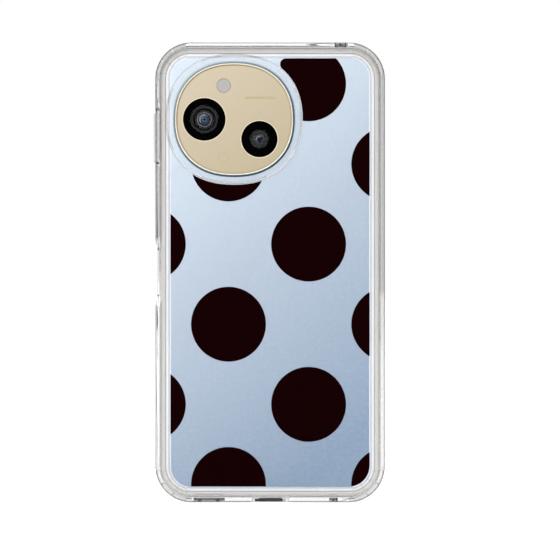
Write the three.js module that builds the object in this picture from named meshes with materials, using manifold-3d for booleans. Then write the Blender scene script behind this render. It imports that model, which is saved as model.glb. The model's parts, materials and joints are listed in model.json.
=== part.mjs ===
// A smartphone in a clear hard-backed cover with round black dots, standing upright on its lower edge.
// The cover is a soft clear bumper moulded round a hard clear back plate. The phone inside it has an aluminium
// frame, a pale blue back, a golden camera island with two cameras and a lamp, a display, and its working parts.
//
// Millimetres. +Z is up, X runs across the width, -Y is the camera side and +Y the display side.
// The origin is the middle of the footprint, on the surface that the cover stands on. Both groups are
// drawn about the phone's own centre and lifted by half of the cover's height.

import * as THREE from "three";
import { mergeVertices } from "three/addons/utils/BufferGeometryUtils.js";
import Module from "manifold-3d";

const wasm = await Module();
wasm.setup();

// ---------------------------------------------------------------- driving dimensions

const PHONE = { halfWidth: 36.5, halfHeight: 74.5, corner: 10.3, backY: -3.45, frontY: 5.45 };
const COVER = { halfWidth: 38.2, halfHeight: 76.5, corner: 12, backY: -4.95, lipY: 6.35 };
const FIT = 0.2; // gap between the phone's frame and the bumper
const SEAM = 0.1; // gap round a panel that is glued or moulded in
const CORNER_STEPS = 8;

const PLATE = {
  halfWidth: 33.1, halfHeight: 71.1, corner: 7, flange: 1.2,
  innerY: -3.6, stepY: -4.1, outerY: -4.8,
};
const DOT = { radius: 12.43, pitch: 26.6, x: 12.8, z: 62.6, thick: 0.08 };

// The island's outline is a superellipse. The guard is the raised rim of the bumper round it.
const ISLAND = { x: -11.96, z: 50.9, halfWidth: 19.6, halfHeight: 18.6, power: 2.25, topY: -5.15, trim: 0.55 };
const GUARD = { inner: 0.8, outer: 3.0, topY: -6.35, toPlate: 3.3, leftFillet: 3.3, topFillet: 2.0 };

const WIDE = { x: -21.84, z: 50.8, bezel: 7.0, glass: 5.0, barrel: 4.6, lens: 2.3, housing: 13, sensor: 9 };
const ULTRA = { x: -3.53, z: 44.25, bezel: 5.95, glass: 3.5, barrel: 3.13, lens: 1.55, housing: 9.5, sensor: 6 };
const FLASH = { x: -15.4, z: 62.0, radius: 2.26 };

const KEY_Y = 1.0; // middle of the side keys and ports, in the phone's thickness
const VOLUME = { z: 45.35, half: 8.4, padHalf: 8.95, padOut: 38.85 };
const POWER = { z: 0, half: 6.3, scoopFlat: 8, scoopEnd: 11.7, scoopDepth: 0.8 };
const USB = { x: 0.1, halfWidth: 4.47, halfThick: 1.6, depth: 7.3 };
const SPEAKER_X = -20.4;
const LOWER_MIC_X = 21;
const UPPER_MIC_X = 23.4;

const BOARD = { nearY: 2.2, farY: 3.0 }; // both circuit boards
const MIDPLATE = { nearY: 3.4, farY: 3.9 };
const INNER = 2.4; // the frame's wall thickness

// ---------------------------------------------------------------- materials

const paint = (color, roughness, metalness = 0, opacity = 1) =>
  new THREE.MeshStandardMaterial({ color, roughness, metalness, opacity, transparent: opacity < 1 });

const material = {
  softClear: paint(0xe9edf0, 0.12, 0, 0.35),
  hardClear: paint(0xeaf1f7, 0.05, 0, 0.25),
  ink: paint(0x130304, 0.5),
  aluminium: paint(0xc9ccd0, 0.32, 1),
  blueBack: paint(0xb4c6dc, 0.38, 0.5),
  gold: paint(0xd9c8a6, 0.4, 0.5),
  goldTrim: paint(0xf3ead2, 0.2, 0.9),
  black: paint(0x050506, 0.2),
  darkGrey: paint(0x2c2c2e, 0.4),
  lampLens: paint(0xb8b4b0, 0.35),
  lensGlass: paint(0x28324a, 0.03, 0, 0.6),
  coverGlass: paint(0x11141a, 0.04, 0, 0.4),
  screenGlass: paint(0x0b0c0f, 0.05),
  screenPanel: paint(0x06070a, 0.25),
  circuit: paint(0x1d3b2c, 0.55),
  steel: paint(0xb9bcbf, 0.3, 1),
  battery: paint(0x34373b, 0.55),
  flex: paint(0xb07a2c, 0.45),
  copper: paint(0xb87346, 0.35, 1),
  graphite: paint(0x3a3c3f, 0.6, 0.2),
};

// ---------------------------------------------------------------- shapes in the XZ plane

const phoneOutline = (offset) =>
  [PHONE.halfWidth + offset, PHONE.halfHeight + offset, PHONE.corner + offset];
const coverOutline = (inset) =>
  [COVER.halfWidth - inset, COVER.halfHeight - inset, COVER.corner - inset];

function roundedRectangle(halfWidth, halfHeight, corner) {
  const shape = new THREE.Shape();
  const x = halfWidth - corner;
  const z = halfHeight - corner;
  shape.moveTo(halfWidth, -z);
  shape.lineTo(halfWidth, z);
  shape.absarc(x, z, corner, 0, Math.PI / 2, false);
  shape.lineTo(-x, halfHeight);
  shape.absarc(-x, z, corner, Math.PI / 2, Math.PI, false);
  shape.lineTo(-halfWidth, -z);
  shape.absarc(-x, -z, corner, Math.PI, 1.5 * Math.PI, false);
  shape.lineTo(x, -halfHeight);
  shape.absarc(x, -z, corner, 1.5 * Math.PI, 2 * Math.PI, false);
  return shape;
}

const stadium = (halfWidth, halfHeight) =>
  roundedRectangle(halfWidth, halfHeight, Math.min(halfWidth, halfHeight) - 0.001);

const polygon = (points) => new THREE.Shape(points.map(([x, z]) => new THREE.Vector2(x, z)));

// A point of the island's outline grown by `grow`, at parameter t, about the group's centre.
function islandPoint(grow, t) {
  const bend = (value) => Math.sign(value) * Math.abs(value) ** (2 / ISLAND.power);
  return new THREE.Vector2(
    ISLAND.x + (ISLAND.halfWidth + grow) * bend(Math.cos(t)),
    ISLAND.z + (ISLAND.halfHeight + grow) * bend(Math.sin(t)),
  );
}

function islandCurve(grow, steps = 64, from = 0, to = 2 * Math.PI) {
  return Array.from({ length: steps + 1 }, (_, i) => islandPoint(grow, from + ((to - from) * i) / steps));
}

const islandShape = (grow) => new THREE.Shape(islandCurve(grow).slice(0, -1));

// The circle of radius r that touches the island's grown outline from outside, at parameter t.
function touchingCircle(grow, t, r) {
  const touch = islandPoint(grow, t);
  const along = islandPoint(grow, t + 1e-3).sub(islandPoint(grow, t - 1e-3)).normalize();
  return { touch, centre: new THREE.Vector2(touch.x + along.y * r, touch.y - along.x * r) };
}

// Finds by bisection the t between low and high at which miss(t) changes sign.
function solve(miss, low, high) {
  const rising = miss(high) > miss(low);
  for (let i = 0; i < 50; i++) {
    const middle = (low + high) / 2;
    if (miss(middle) > 0 === rising) high = middle;
    else low = middle;
  }
  return (low + high) / 2;
}

// The back plate: a rounded rectangle whose upper left corner gives way to the guard round the island.
function plateShape(grow) {
  const x = PLATE.halfWidth + grow;
  const z = PLATE.halfHeight + grow;
  const r = PLATE.corner + grow;
  const guard = GUARD.toPlate - grow;
  const topR = GUARD.topFillet + grow;
  const leftR = GUARD.leftFillet + grow;
  const topT = solve((t) => touchingCircle(guard, t, topR).centre.y - (z - topR), 0.1, 1.4);
  const leftT = solve((t) => touchingCircle(guard, t, leftR).centre.x - (leftR - x), -1.7, -3.0);
  const top = touchingCircle(guard, topT, topR);
  const left = touchingCircle(guard, leftT, leftR);
  const angle = ({ centre, touch }) => Math.atan2(touch.y - centre.y, touch.x - centre.x);

  const shape = new THREE.Shape();
  shape.moveTo(r - x, -z);
  shape.lineTo(x - r, -z);
  shape.absarc(x - r, r - z, r, -Math.PI / 2, 0, false);
  shape.lineTo(x, z - r);
  shape.absarc(x - r, z - r, r, 0, Math.PI / 2, false);
  shape.lineTo(top.centre.x, z);
  shape.absarc(top.centre.x, top.centre.y, topR, Math.PI / 2, angle(top), false);
  islandCurve(guard, 32, topT, leftT).slice(1).forEach((p) => shape.lineTo(p.x, p.y));
  shape.absarc(left.centre.x, left.centre.y, leftR, angle(left), Math.PI, false);
  shape.lineTo(-x, r - z);
  shape.absarc(r - x, r - z, r, Math.PI, 1.5 * Math.PI, false);
  return shape;
}

// ---------------------------------------------------------------- solids

// A shape in the XZ plane made solid from y = near to y = far.
function slab(shape, near, far, curveSegments = CORNER_STEPS) {
  const geometry = new THREE.ExtrudeGeometry(shape, { depth: far - near, bevelEnabled: false, curveSegments });
  return geometry.rotateX(Math.PI / 2).translate(0, far, 0);
}

// A shape in the YZ plane, given as (y, z) points, made solid from x = left to x = right.
function sideSlab(shape, left, right, curveSegments = CORNER_STEPS) {
  const geometry = new THREE.ExtrudeGeometry(shape, { depth: right - left, bevelEnabled: false, curveSegments });
  return geometry.rotateY(Math.PI / 2).rotateX(Math.PI / 2).translate(left, 0, 0);
}

// A shape in the XY plane made solid from z = bottom to z = top.
function upright(shape, bottom, top, curveSegments = CORNER_STEPS) {
  const geometry = new THREE.ExtrudeGeometry(shape, { depth: top - bottom, bevelEnabled: false, curveSegments });
  return geometry.translate(0, 0, bottom);
}

const block = (x0, x1, y0, y1, z0, z1) =>
  new THREE.BoxGeometry(x1 - x0, y1 - y0, z1 - z0).translate((x0 + x1) / 2, (y0 + y1) / 2, (z0 + z1) / 2);

// A disc or rod along Y.
const rod = (radius, near, far, steps = 32) =>
  new THREE.CylinderGeometry(radius, radius, far - near, steps).translate(0, (near + far) / 2, 0);

// A turned body about Y. The profile is (radius, y) points, closed on itself or on the axis.
function turned(points, steps = 32) {
  return outward(new THREE.LatheGeometry(points.map(([r, y]) => new THREE.Vector2(r, y)), steps));
}

function signedVolume(geometry) {
  const p = geometry.getAttribute("position");
  const index = geometry.index ? geometry.index.array : Array.from({ length: p.count }, (_, i) => i);
  const [a, b, c] = [new THREE.Vector3(), new THREE.Vector3(), new THREE.Vector3()];
  let volume = 0;
  for (let i = 0; i < index.length; i += 3) {
    a.fromBufferAttribute(p, index[i]);
    b.fromBufferAttribute(p, index[i + 1]);
    c.fromBufferAttribute(p, index[i + 2]);
    volume += a.dot(b.cross(c)) / 6;
  }
  return volume;
}

// Turns a closed geometry's faces round if they point inwards.
function outward(geometry) {
  if (signedVolume(geometry) >= 0) return geometry;
  const flipped = geometry.index ? geometry : mergeVertices(geometry);
  flipped.setIndex(Array.from(flipped.index.array).reverse());
  return flipped;
}

function ring([halfWidth, halfHeight, corner], y) {
  const points = [];
  for (let quarter = 0; quarter < 4; quarter++) {
    const x = (halfWidth - corner) * (quarter === 0 || quarter === 3 ? 1 : -1);
    const z = (halfHeight - corner) * (quarter < 2 ? 1 : -1);
    for (let i = 0; i <= CORNER_STEPS; i++) {
      const turn = ((quarter + i / CORNER_STEPS) * Math.PI) / 2;
      points.push([x + corner * Math.cos(turn), y, z + corner * Math.sin(turn)]);
    }
  }
  return points;
}

const islandRing = (grow, y) => islandCurve(grow).slice(0, -1).map((p) => [p.x, y, p.y]);

// Skins the rings in order. A hoop joins the last ring to the first; otherwise both ends are capped.
function skin(rings, hoop) {
  const count = rings[0].length;
  const positions = rings.flat(2);
  const index = [];
  const rows = hoop ? rings.length : rings.length - 1;
  for (let row = 0; row < rows; row++) {
    const a = row * count;
    const b = ((row + 1) % rings.length) * count;
    for (let i = 0; i < count; i++) {
      const next = (i + 1) % count;
      index.push(a + i, a + next, b + i, a + next, b + next, b + i);
    }
  }
  if (!hoop) {
    const last = (rings.length - 1) * count;
    for (let i = 1; i < count - 1; i++) index.push(0, i + 1, i, last, last + i, last + i + 1);
  }
  const geometry = new THREE.BufferGeometry();
  geometry.setAttribute("position", new THREE.Float32BufferAttribute(positions, 3));
  geometry.setIndex(index);
  return outward(geometry);
}

// Points of a quarter ellipse from (x0, y0) to (x1, y1), leaving along y if `steep`, else along x.
function quarterRound(x0, y0, x1, y1, steps, steep) {
  return Array.from({ length: steps + 1 }, (_, i) => {
    const turn = ((i / steps) * Math.PI) / 2;
    const slow = 1 - Math.cos(turn);
    const fast = Math.sin(turn);
    return [x0 + (x1 - x0) * (steep ? slow : fast), y0 + (y1 - y0) * (steep ? fast : slow)];
  });
}

// ---------------------------------------------------------------- cutting and joining

function solidOf(geometry) {
  const plain = new THREE.BufferGeometry();
  plain.setAttribute("position", geometry.getAttribute("position"));
  if (geometry.index) plain.setIndex(geometry.index);
  const merged = mergeVertices(plain, 1e-4);
  const vertProperties = new Float32Array(merged.getAttribute("position").array);
  return new wasm.Manifold(
    new wasm.Mesh({ numProp: 3, vertProperties, triVerts: new Uint32Array(merged.index.array) }),
  );
}

function geometryOf(solid) {
  const mesh = solid.getMesh();
  const geometry = new THREE.BufferGeometry();
  geometry.setAttribute("position", new THREE.BufferAttribute(mesh.vertProperties.slice(), 3));
  geometry.setIndex(new THREE.BufferAttribute(mesh.triVerts.slice(), 1));
  return geometry;
}

const combine = (operation) => (first, ...others) =>
  geometryOf(others.reduce((made, tool) => made[operation](solidOf(tool)), solidOf(first)));
const cut = combine("subtract");
const join = combine("add");
const common = combine("intersect");

function piece(group, name, geometry, finish, x = 0, z = 0) {
  geometry.computeVertexNormals();
  const mesh = new THREE.Mesh(geometry, finish);
  mesh.name = name;
  mesh.position.set(x, 0, z);
  group.add(mesh);
  return mesh;
}

// ---------------------------------------------------------------- the cover

// The bumper's section, swept round: outer wall, front lip, inner wall, and the floor under the phone's edge.
function bumperRings() {
  const plateEdge = [PLATE.halfWidth - 1, PLATE.halfHeight - 1, PLATE.corner - 1];
  const backRound = 2.8;
  const lipRound = 1.0;
  const innerWall = FIT;
  const phoneRound = 1.45;
  return [
    ring(plateEdge, COVER.backY),
    ...quarterRound(backRound, COVER.backY, 0, -2.2, 5, false).map(([s, y]) => ring(coverOutline(s), y)),
    ...quarterRound(0, 4.9, lipRound, COVER.lipY, 3, true).map(([s, y]) => ring(coverOutline(s), y)),
    ring(phoneOutline(innerWall + 0.15), COVER.lipY),
    ring(phoneOutline(innerWall), COVER.lipY - 0.3),
    ...quarterRound(innerWall, -2.0, -phoneRound, PLATE.innerY, 3, true).map(([o, y]) => ring(phoneOutline(o), y)),
    ring(plateEdge, PLATE.innerY),
  ];
}

// The raised rim round the camera island, from the bumper's floor up to its crest.
function guardRim() {
  const section = [
    [GUARD.inner, PLATE.innerY], [GUARD.inner, GUARD.topY + 0.35], [GUARD.inner + 0.1, GUARD.topY + 0.1],
    [GUARD.inner + 0.35, GUARD.topY], [GUARD.outer - 0.85, GUARD.topY], [GUARD.outer - 0.45, GUARD.topY + 0.2],
    [GUARD.outer - 0.2, GUARD.topY + 0.6], [GUARD.outer, COVER.backY + 0.05], [GUARD.outer - 1, PLATE.innerY],
  ];
  return skin(section.map(([grow, y]) => islandRing(grow, y)), true);
}

// The pockets behind the four corners, which let the corner give when the phone is dropped.
function cornerPockets() {
  const pockets = [];
  for (const side of [1, -1]) {
    for (const end of [1, -1]) {
      const x = PHONE.halfWidth - PHONE.corner;
      const z = PHONE.halfHeight - PHONE.corner;
      const middle = Math.atan2(end, side);
      const half = 0.62;
      const shape = new THREE.Shape();
      shape.absarc(side * x, end * z, PHONE.corner + 0.95, middle - half, middle + half, false);
      shape.absarc(side * x, end * z, PHONE.corner - 0.4, middle + half, middle - half, true);
      pockets.push(slab(shape, -1.2, 4.2));
    }
  }
  return pockets;
}

// The scoop and the window through which a finger reaches the power key.
function powerOpening() {
  const face = -COVER.halfWidth;
  const scoop = polygon([
    [face - 1, POWER.z - POWER.scoopEnd - 1.2], [face, POWER.z - POWER.scoopEnd],
    [face + POWER.scoopDepth, POWER.z - POWER.scoopFlat], [face + POWER.scoopDepth, POWER.z + POWER.scoopFlat],
    [face, POWER.z + POWER.scoopEnd], [face - 1, POWER.z + POWER.scoopEnd + 1.2],
  ]);
  const windowShape = roundedRectangle(2.7, POWER.scoopFlat, 1.3);
  return [
    slab(scoop, COVER.backY - 2, COVER.lipY + 1),
    sideSlab(windowShape, face - 1, face + 4).translate(0, KEY_Y, POWER.z),
  ];
}

// The window for the volume pad, and the channel that lets the phone's volume key pass the front lip.
function volumeOpening() {
  const face = -COVER.halfWidth;
  const windowShape = roundedRectangle(2.65, VOLUME.padHalf + 0.35, 1.6);
  const channelDepth = 0.5;
  return [
    sideSlab(windowShape, face - 1, face + 3).translate(0, KEY_Y, VOLUME.z),
    block(
      -PHONE.halfWidth - channelDepth, -PHONE.halfWidth + 1, KEY_Y, COVER.lipY + 1,
      VOLUME.z - VOLUME.half - 0.6, VOLUME.z + VOLUME.half + 0.6,
    ),
  ];
}

// Windows in the lower and upper walls for the charging port, the loudspeaker and the microphones.
function endOpenings() {
  const below = [-COVER.halfHeight - 1, -PHONE.halfHeight + 2];
  const above = [PHONE.halfHeight - 2, COVER.halfHeight + 1];
  const scoop = polygon([[-7.2, -77.5], [-7.2, -76.5], [-6.2, -76.17], [6.2, -76.17], [7.2, -76.5], [7.2, -77.5]]);
  return [
    upright(stadium(6.2, 3.2), ...below).translate(USB.x, KEY_Y, 0),
    upright(stadium(5.15, 1.7), ...below).translate(SPEAKER_X, KEY_Y, 0),
    upright(stadium(1.5, 1.3), ...below).translate(LOWER_MIC_X, KEY_Y, 0),
    upright(stadium(1.95, 1.3), ...above).translate(UPPER_MIC_X, KEY_Y, 0),
    slab(scoop, COVER.backY - 2, COVER.lipY + 1).translate(USB.x, 0, 0),
  ];
}

function bumper() {
  const floor = slab(roundedRectangle(...coverOutline(6)), COVER.backY, PLATE.innerY);
  return cut(
    join(skin(bumperRings(), true), floor, guardRim()),
    slab(plateShape(SEAM), COVER.backY - 2, PLATE.stepY - 0.05),
    slab(plateShape(PLATE.flange + SEAM), PLATE.stepY - 0.06, PLATE.innerY + 0.1),
    slab(islandShape(GUARD.inner), COVER.backY - 3, PLATE.innerY + 1),
    ...cornerPockets(),
    ...powerOpening(),
    ...volumeOpening(),
    ...endOpenings(),
  );
}

// The hard plate: a visible panel with a thinner flange that the bumper is moulded over.
function backPlate() {
  return join(
    slab(plateShape(0), PLATE.outerY, PLATE.stepY + 0.1),
    slab(plateShape(PLATE.flange), PLATE.stepY, PLATE.innerY),
  );
}

// The centres of the dots that show. Columns alternate by half a pitch, and none is printed beside the island.
function dotCentres() {
  const centres = [];
  for (let column = -2; column <= 1; column++) {
    const odd = column % 2 !== 0;
    for (let row = column === -2 ? 1 : 0; row < 3; row++) {
      centres.push([DOT.x + column * DOT.pitch, DOT.z - 2 * row * DOT.pitch - (odd ? DOT.pitch : 0)]);
    }
  }
  return centres;
}

function inkDot([x, z]) {
  const near = PLATE.outerY - DOT.thick;
  const disc = rod(DOT.radius, near, PLATE.outerY, 48).translate(x, 0, z);
  return common(disc, slab(plateShape(-0.12), near - 1, PLATE.outerY + 1));
}

function volumePad() {
  const shape = roundedRectangle(2.3, VOLUME.padHalf, 1.4);
  const inner = PHONE.halfWidth + 0.45;
  const crown = 0.35;
  return join(
    sideSlab(shape, -VOLUME.padOut + crown, -inner),
    sideSlab(roundedRectangle(2.0, VOLUME.padHalf - 0.4, 1.1), -VOLUME.padOut, -inner - 0.1),
  ).translate(0, KEY_Y, 0);
}

function buildCover() {
  const cover = new THREE.Group();
  piece(cover, "cover_bumper", bumper(), material.softClear);
  piece(cover, "cover_back_plate", backPlate(), material.hardClear);
  piece(cover, "cover_volume_pad", volumePad(), material.softClear, 0, VOLUME.z);
  dotCentres().forEach((centre, i) => piece(cover, `ink_dot_${i + 1}`, inkDot(centre), material.ink));
  return cover;
}

// ---------------------------------------------------------------- the phone's outside

// The frame's section: rounded back edge, side wall, rounded front edge, and a ledge for each panel.
function frameRings() {
  const backRound = 1.45;
  const frontRound = 0.75;
  const rim = 0.35;
  const glassLedgeY = PHONE.frontY - 0.7;
  const shellLedgeY = PHONE.backY + 1.0;
  const section = [
    ...quarterRound(-backRound, PHONE.backY, 0, PHONE.backY + backRound, 4, false),
    ...quarterRound(0, 4.35, -frontRound, PHONE.frontY - 0.35, 3, true),
    [-0.95, PHONE.frontY - rim], [-0.95, glassLedgeY], [-INNER, glassLedgeY],
    [-INNER, shellLedgeY], [-1.75, shellLedgeY], [-1.75, PHONE.backY],
  ];
  return section.map(([offset, y]) => ring(phoneOutline(offset), y));
}

function frameHoles() {
  const side = [-PHONE.halfWidth - 1, -PHONE.halfWidth + INNER + 0.5];
  const bottom = [-PHONE.halfHeight - 1, -PHONE.halfHeight + INNER + 0.5];
  const top = [PHONE.halfHeight - INNER - 0.5, PHONE.halfHeight + 1];
  const speakerHoles = [-3, -1, 1, 3].map((step) =>
    upright(stadium(0.7, 0.55), ...bottom, 4).translate(SPEAKER_X + step, KEY_Y, 0));
  const screwHoles = SCREWS.map(([x, z]) => rod(0.7, MIDPLATE.nearY - 1, MIDPLATE.farY + 1, 10).translate(x, 0, z));
  return [
    sideSlab(stadium(1.5, POWER.half + 0.2), ...side).translate(0, KEY_Y, POWER.z),
    sideSlab(stadium(1.2, VOLUME.half + 0.3), ...side).translate(0, KEY_Y, VOLUME.z),
    sideSlab(stadium(1.25, SIM.half + 0.3), PHONE.halfWidth - INNER - 0.5, PHONE.halfWidth + 1)
      .translate(0, SIM.y, SIM.z),
    upright(stadium(USB.halfWidth + 0.15, USB.halfThick + 0.15), ...bottom).translate(USB.x, KEY_Y, 0),
    upright(stadium(0.5, 0.499), ...bottom, 4).translate(LOWER_MIC_X, KEY_Y, 0),
    upright(stadium(0.5, 0.499), ...top, 4).translate(UPPER_MIC_X, KEY_Y, 0),
    block(-6, 6, PHONE.frontY - 1, PHONE.frontY, PHONE.halfHeight - 1.2, PHONE.halfHeight - 0.5),
    rod(2.2, MIDPLATE.nearY - 1, MIDPLATE.farY + 1, 20).translate(SELFIE.x, 0, SELFIE.z),
    ...speakerHoles,
    ...screwHoles,
  ];
}

function phoneFrame() {
  const midplate = slab(roundedRectangle(...phoneOutline(-INNER + 0.3)), MIDPLATE.nearY, MIDPLATE.farY);
  return cut(join(skin(frameRings(), true), midplate), ...frameHoles());
}

function backShell() {
  return cut(
    slab(roundedRectangle(...phoneOutline(-1.85)), PHONE.backY, PHONE.backY + 0.9),
    rod(WIDE.glass, -5, 0).translate(WIDE.x, 0, WIDE.z),
    rod(ULTRA.glass, -5, 0).translate(ULTRA.x, 0, ULTRA.z),
    rod(FLASH.radius + 0.1, -5, 0, 20).translate(FLASH.x, 0, FLASH.z),
  );
}

function islandPlate() {
  const foot = PHONE.backY - 0.05;
  const body = skin([
    islandRing(-ISLAND.trim - SEAM, ISLAND.topY), islandRing(-ISLAND.trim - SEAM, foot),
  ], false);
  return cut(
    body,
    rod(WIDE.bezel + SEAM, -8, 0, 40).translate(WIDE.x, 0, WIDE.z),
    rod(ULTRA.bezel + SEAM, -8, 0, 40).translate(ULTRA.x, 0, ULTRA.z),
    rod(FLASH.radius + SEAM, -8, 0, 20).translate(FLASH.x, 0, FLASH.z),
  );
}

function islandTrim() {
  const foot = PHONE.backY - 0.05;
  const crest = ISLAND.topY - 0.15;
  const section = [
    [-ISLAND.trim, foot], [-ISLAND.trim, crest + 0.1], [-ISLAND.trim + 0.12, crest],
    [-0.2, crest], [0, crest + 0.25], [0, foot],
  ];
  return skin(section.map(([grow, y]) => islandRing(grow, y)), true);
}

function displayGlass() {
  const back = PHONE.frontY - 0.6;
  return skin([
    ring(phoneOutline(-1.05), back), ring(phoneOutline(-1.05), PHONE.frontY - 0.35),
    ring(phoneOutline(-1.2), PHONE.frontY - 0.12), ring(phoneOutline(-1.55), PHONE.frontY),
  ], false);
}

const SELFIE = { x: 0, z: 69 };

function displayPanel() {
  return cut(
    slab(roundedRectangle(...phoneOutline(-INNER - SEAM)), MIDPLATE.farY + SEAM, PHONE.frontY - 0.65),
    rod(2.2, 0, 8, 20).translate(SELFIE.x, 0, SELFIE.z),
  );
}

// A key whose cap fills its slot in the left wall, with a flange inside that keeps it in.
function sideKey(half, capHalf, outside, flangeAt) {
  const inside = -PHONE.halfWidth + INNER;
  return join(
    sideSlab(stadium(capHalf, half), -outside, inside + flangeAt + 0.1),
    sideSlab(stadium(capHalf + 0.12, half + 0.8), inside + flangeAt, inside + flangeAt + 0.4),
  ).translate(0, KEY_Y, 0);
}

// ---------------------------------------------------------------- the cameras and the lamp

function lensBezel({ bezel, glass }) {
  const foot = PHONE.backY - 0.1;
  const crest = ISLAND.topY - 0.25;
  const wall = glass + 0.1;
  return turned([
    [wall, foot], [bezel, foot], [bezel, crest + 0.15], [bezel - 0.15, crest], [wall, crest], [wall, foot],
  ], 40);
}

const lensCover = ({ glass }) => rod(glass, ISLAND.topY - 0.2, ISLAND.topY + 0.2, 32);

// The moving barrel: a stepped front face, a seat for the front lens and a bore down to the sensor.
function wideBarrel({ barrel, lens }) {
  const bore = lens - 0.8;
  return turned([
    [lens + 0.05, -4.0], [3.2, -4.35], [3.3, -4.05], [3.8, -4.05], [3.9, -4.5], [barrel, -4.5],
    [barrel, 0.8], [bore, 0.8], [bore, -3.0], [lens + 0.05, -3.0], [lens + 0.05, -4.0],
  ], 32);
}

function ultraBarrel({ barrel, lens }) {
  const bore = lens - 0.6;
  return turned([
    [lens + 0.05, -4.05], [barrel - 0.15, -4.5], [barrel, -4.4],
    [barrel, 0.6], [bore, 0.6], [bore, -3.1], [lens + 0.05, -3.1], [lens + 0.05, -4.05],
  ], 32);
}

// The front lens: flat behind, domed in front.
function frontLens({ lens }, seatY, bulge) {
  const dome = quarterRound(lens, seatY - 0.35, 0, seatY - 0.35 - bulge, 5, true);
  return turned([[0, seatY - 0.05], [lens, seatY - 0.05], ...dome], 24);
}

function cameraHousing({ housing, barrel, sensor }, near, far) {
  const half = housing / 2;
  const window = sensor / 2 + 0.2;
  return cut(
    slab(roundedRectangle(half, half, 0.8), near, far, 2),
    rod(barrel + 0.3, near - 1, 1.9, 32),
    block(-window, window, 1.5, far + 1, -window, window),
  );
}

const imageSensor = ({ sensor }) => block(-sensor / 2, sensor / 2, 2.2, 3.0, -sensor / 2, sensor / 2);

function buildCamera(phone, label, camera, barrel, seatY, bulge) {
  const at = [camera.x, camera.z];
  piece(phone, `${label}_lens_bezel`, lensBezel(camera), material.black, ...at);
  piece(phone, `${label}_cover_glass`, lensCover(camera), material.coverGlass, ...at);
  piece(phone, `${label}_lens_barrel`, barrel(camera), material.darkGrey, ...at);
  piece(phone, `${label}_front_lens`, frontLens(camera, seatY, bulge), material.lensGlass, ...at);
  piece(phone, `${label}_camera_housing`, cameraHousing(camera, -1.8, 3.1), material.darkGrey, ...at);
  piece(phone, `${label}_image_sensor`, imageSensor(camera), material.circuit, ...at);
}

function flashLens() {
  const crest = ISLAND.topY - 0.05;
  return turned([
    [0, PHONE.backY - 0.3], [FLASH.radius, PHONE.backY - 0.3], [FLASH.radius, crest + 0.1],
    [FLASH.radius - 0.1, crest], [0, crest],
  ], 24);
}

const flashLed = () => join(block(-4, 3, -2.45, -2.25, -3, 3), block(-1.3, 1.3, -3.5, -2.4, -1.3, 1.3));

function frontCamera() {
  return join(block(-2.9, 2.9, 0.5, 2.9, -2.9, 2.9), rod(1.9, 2.8, PHONE.frontY - 0.7, 20));
}

// ---------------------------------------------------------------- the working parts inside

const SIM = { z: 57.3, y: 1.1, half: 7.4, depth: 25 };
const SCREWS = [[-30.5, 66.5], [31, 31], [-30.5, -54.5], [30.5, -68.5]];

function circuitBoard(middleZ, halfHeight, openings) {
  const screwHoles = SCREWS.map(([x, z]) => rod(0.75, 0, 5, 10).translate(x, 0, z));
  const body = slab(roundedRectangle(33.4, halfHeight, 7.4), BOARD.nearY, BOARD.farY).translate(0, 0, middleZ);
  return cut(body, ...openings, ...screwHoles);
}

function openingRound({ x, z, housing }) {
  const half = housing / 2 + 0.4;
  return block(x - half, x + half, 0, 5, z - half, z + half);
}

function mainboard() {
  return circuitBoard(49.95, 21.45, [
    openingRound(WIDE), openingRound(ULTRA), openingRound({ ...SELFIE, housing: 5.8 }),
  ]);
}

const subBoard = () => circuitBoard(-61.7, 9.7, [block(-4.9, 5.1, 0, 5, -72, -66.6)]);

function shieldCan() {
  return cut(
    slab(roundedRectangle(8, 9, 1), -0.2, BOARD.nearY - 0.05, 2),
    block(-7.7, 7.7, 0.1, 5, -8.7, 8.7),
  );
}

// The card tray: a face bar flush with the frame, and a plate with a window for each card.
function simTray() {
  const face = PHONE.halfWidth;
  return cut(
    join(
      sideSlab(stadium(1.1, SIM.half), face - 1.6, face),
      block(face - SIM.depth, face - 1.5, -0.5, 0.5, -6.8, 6.8),
    ),
    block(face - 23.5, face - 13.7, -0.2, 2, -5.9, 5.9),
    block(face - 12.7, face - 3.2, -2, 0.2, -5.9, 5.9),
    sideSlab(stadium(0.5, 0.499), face - 6, face + 1, 4).translate(0, 0, 5.9),
  ).translate(0, SIM.y, 0);
}

function simReader() {
  const right = PHONE.halfWidth - 4;
  const left = PHONE.halfWidth - SIM.depth - 1.5;
  return cut(
    block(left, right, SIM.y - 1.0, SIM.y + 1.0, -8, 8),
    block(left + 0.7, right + 1, SIM.y - 0.75, SIM.y + 0.75, -7.1, 7.1),
  );
}

function usbPort() {
  const mouth = -PHONE.halfHeight + 0.3;
  const back = mouth + USB.depth;
  const shell = cut(
    upright(stadium(USB.halfWidth, USB.halfThick), mouth, back),
    upright(stadium(USB.halfWidth - 0.28, USB.halfThick - 0.28), mouth - 1, back - 0.6),
  );
  return join(shell, block(-3.35, 3.35, -0.35, 0.35, mouth + 1, back - 0.3)).translate(0, KEY_Y, 0);
}

// The ribbon that joins the two boards: it climbs from one, lies on the battery's back and drops to the
// other. Its centre line is given in (y, z) and offset to each side.
function mainFlex() {
  const line = [[2.05, -57], [2.05, -53.9], [-2.05, -50.6], [-2.05, 27.8], [2.05, 31.1], [2.05, 34]];
  const half = 0.07;
  const outline = polygon([
    ...line.map(([y, z]) => [y - half, z + (z < 0 ? -half : half)]),
    ...line.slice().reverse().map(([y, z]) => [y + half, z + (z < 0 ? half : -half)]),
  ]);
  return sideSlab(outline, 4, 12);
}

const contactlessCoil = () =>
  cut(slab(roundedRectangle(17, 14, 4), -2.45, -2.3, 4), slab(roundedRectangle(14, 11, 2), -4, 0, 4));

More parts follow.
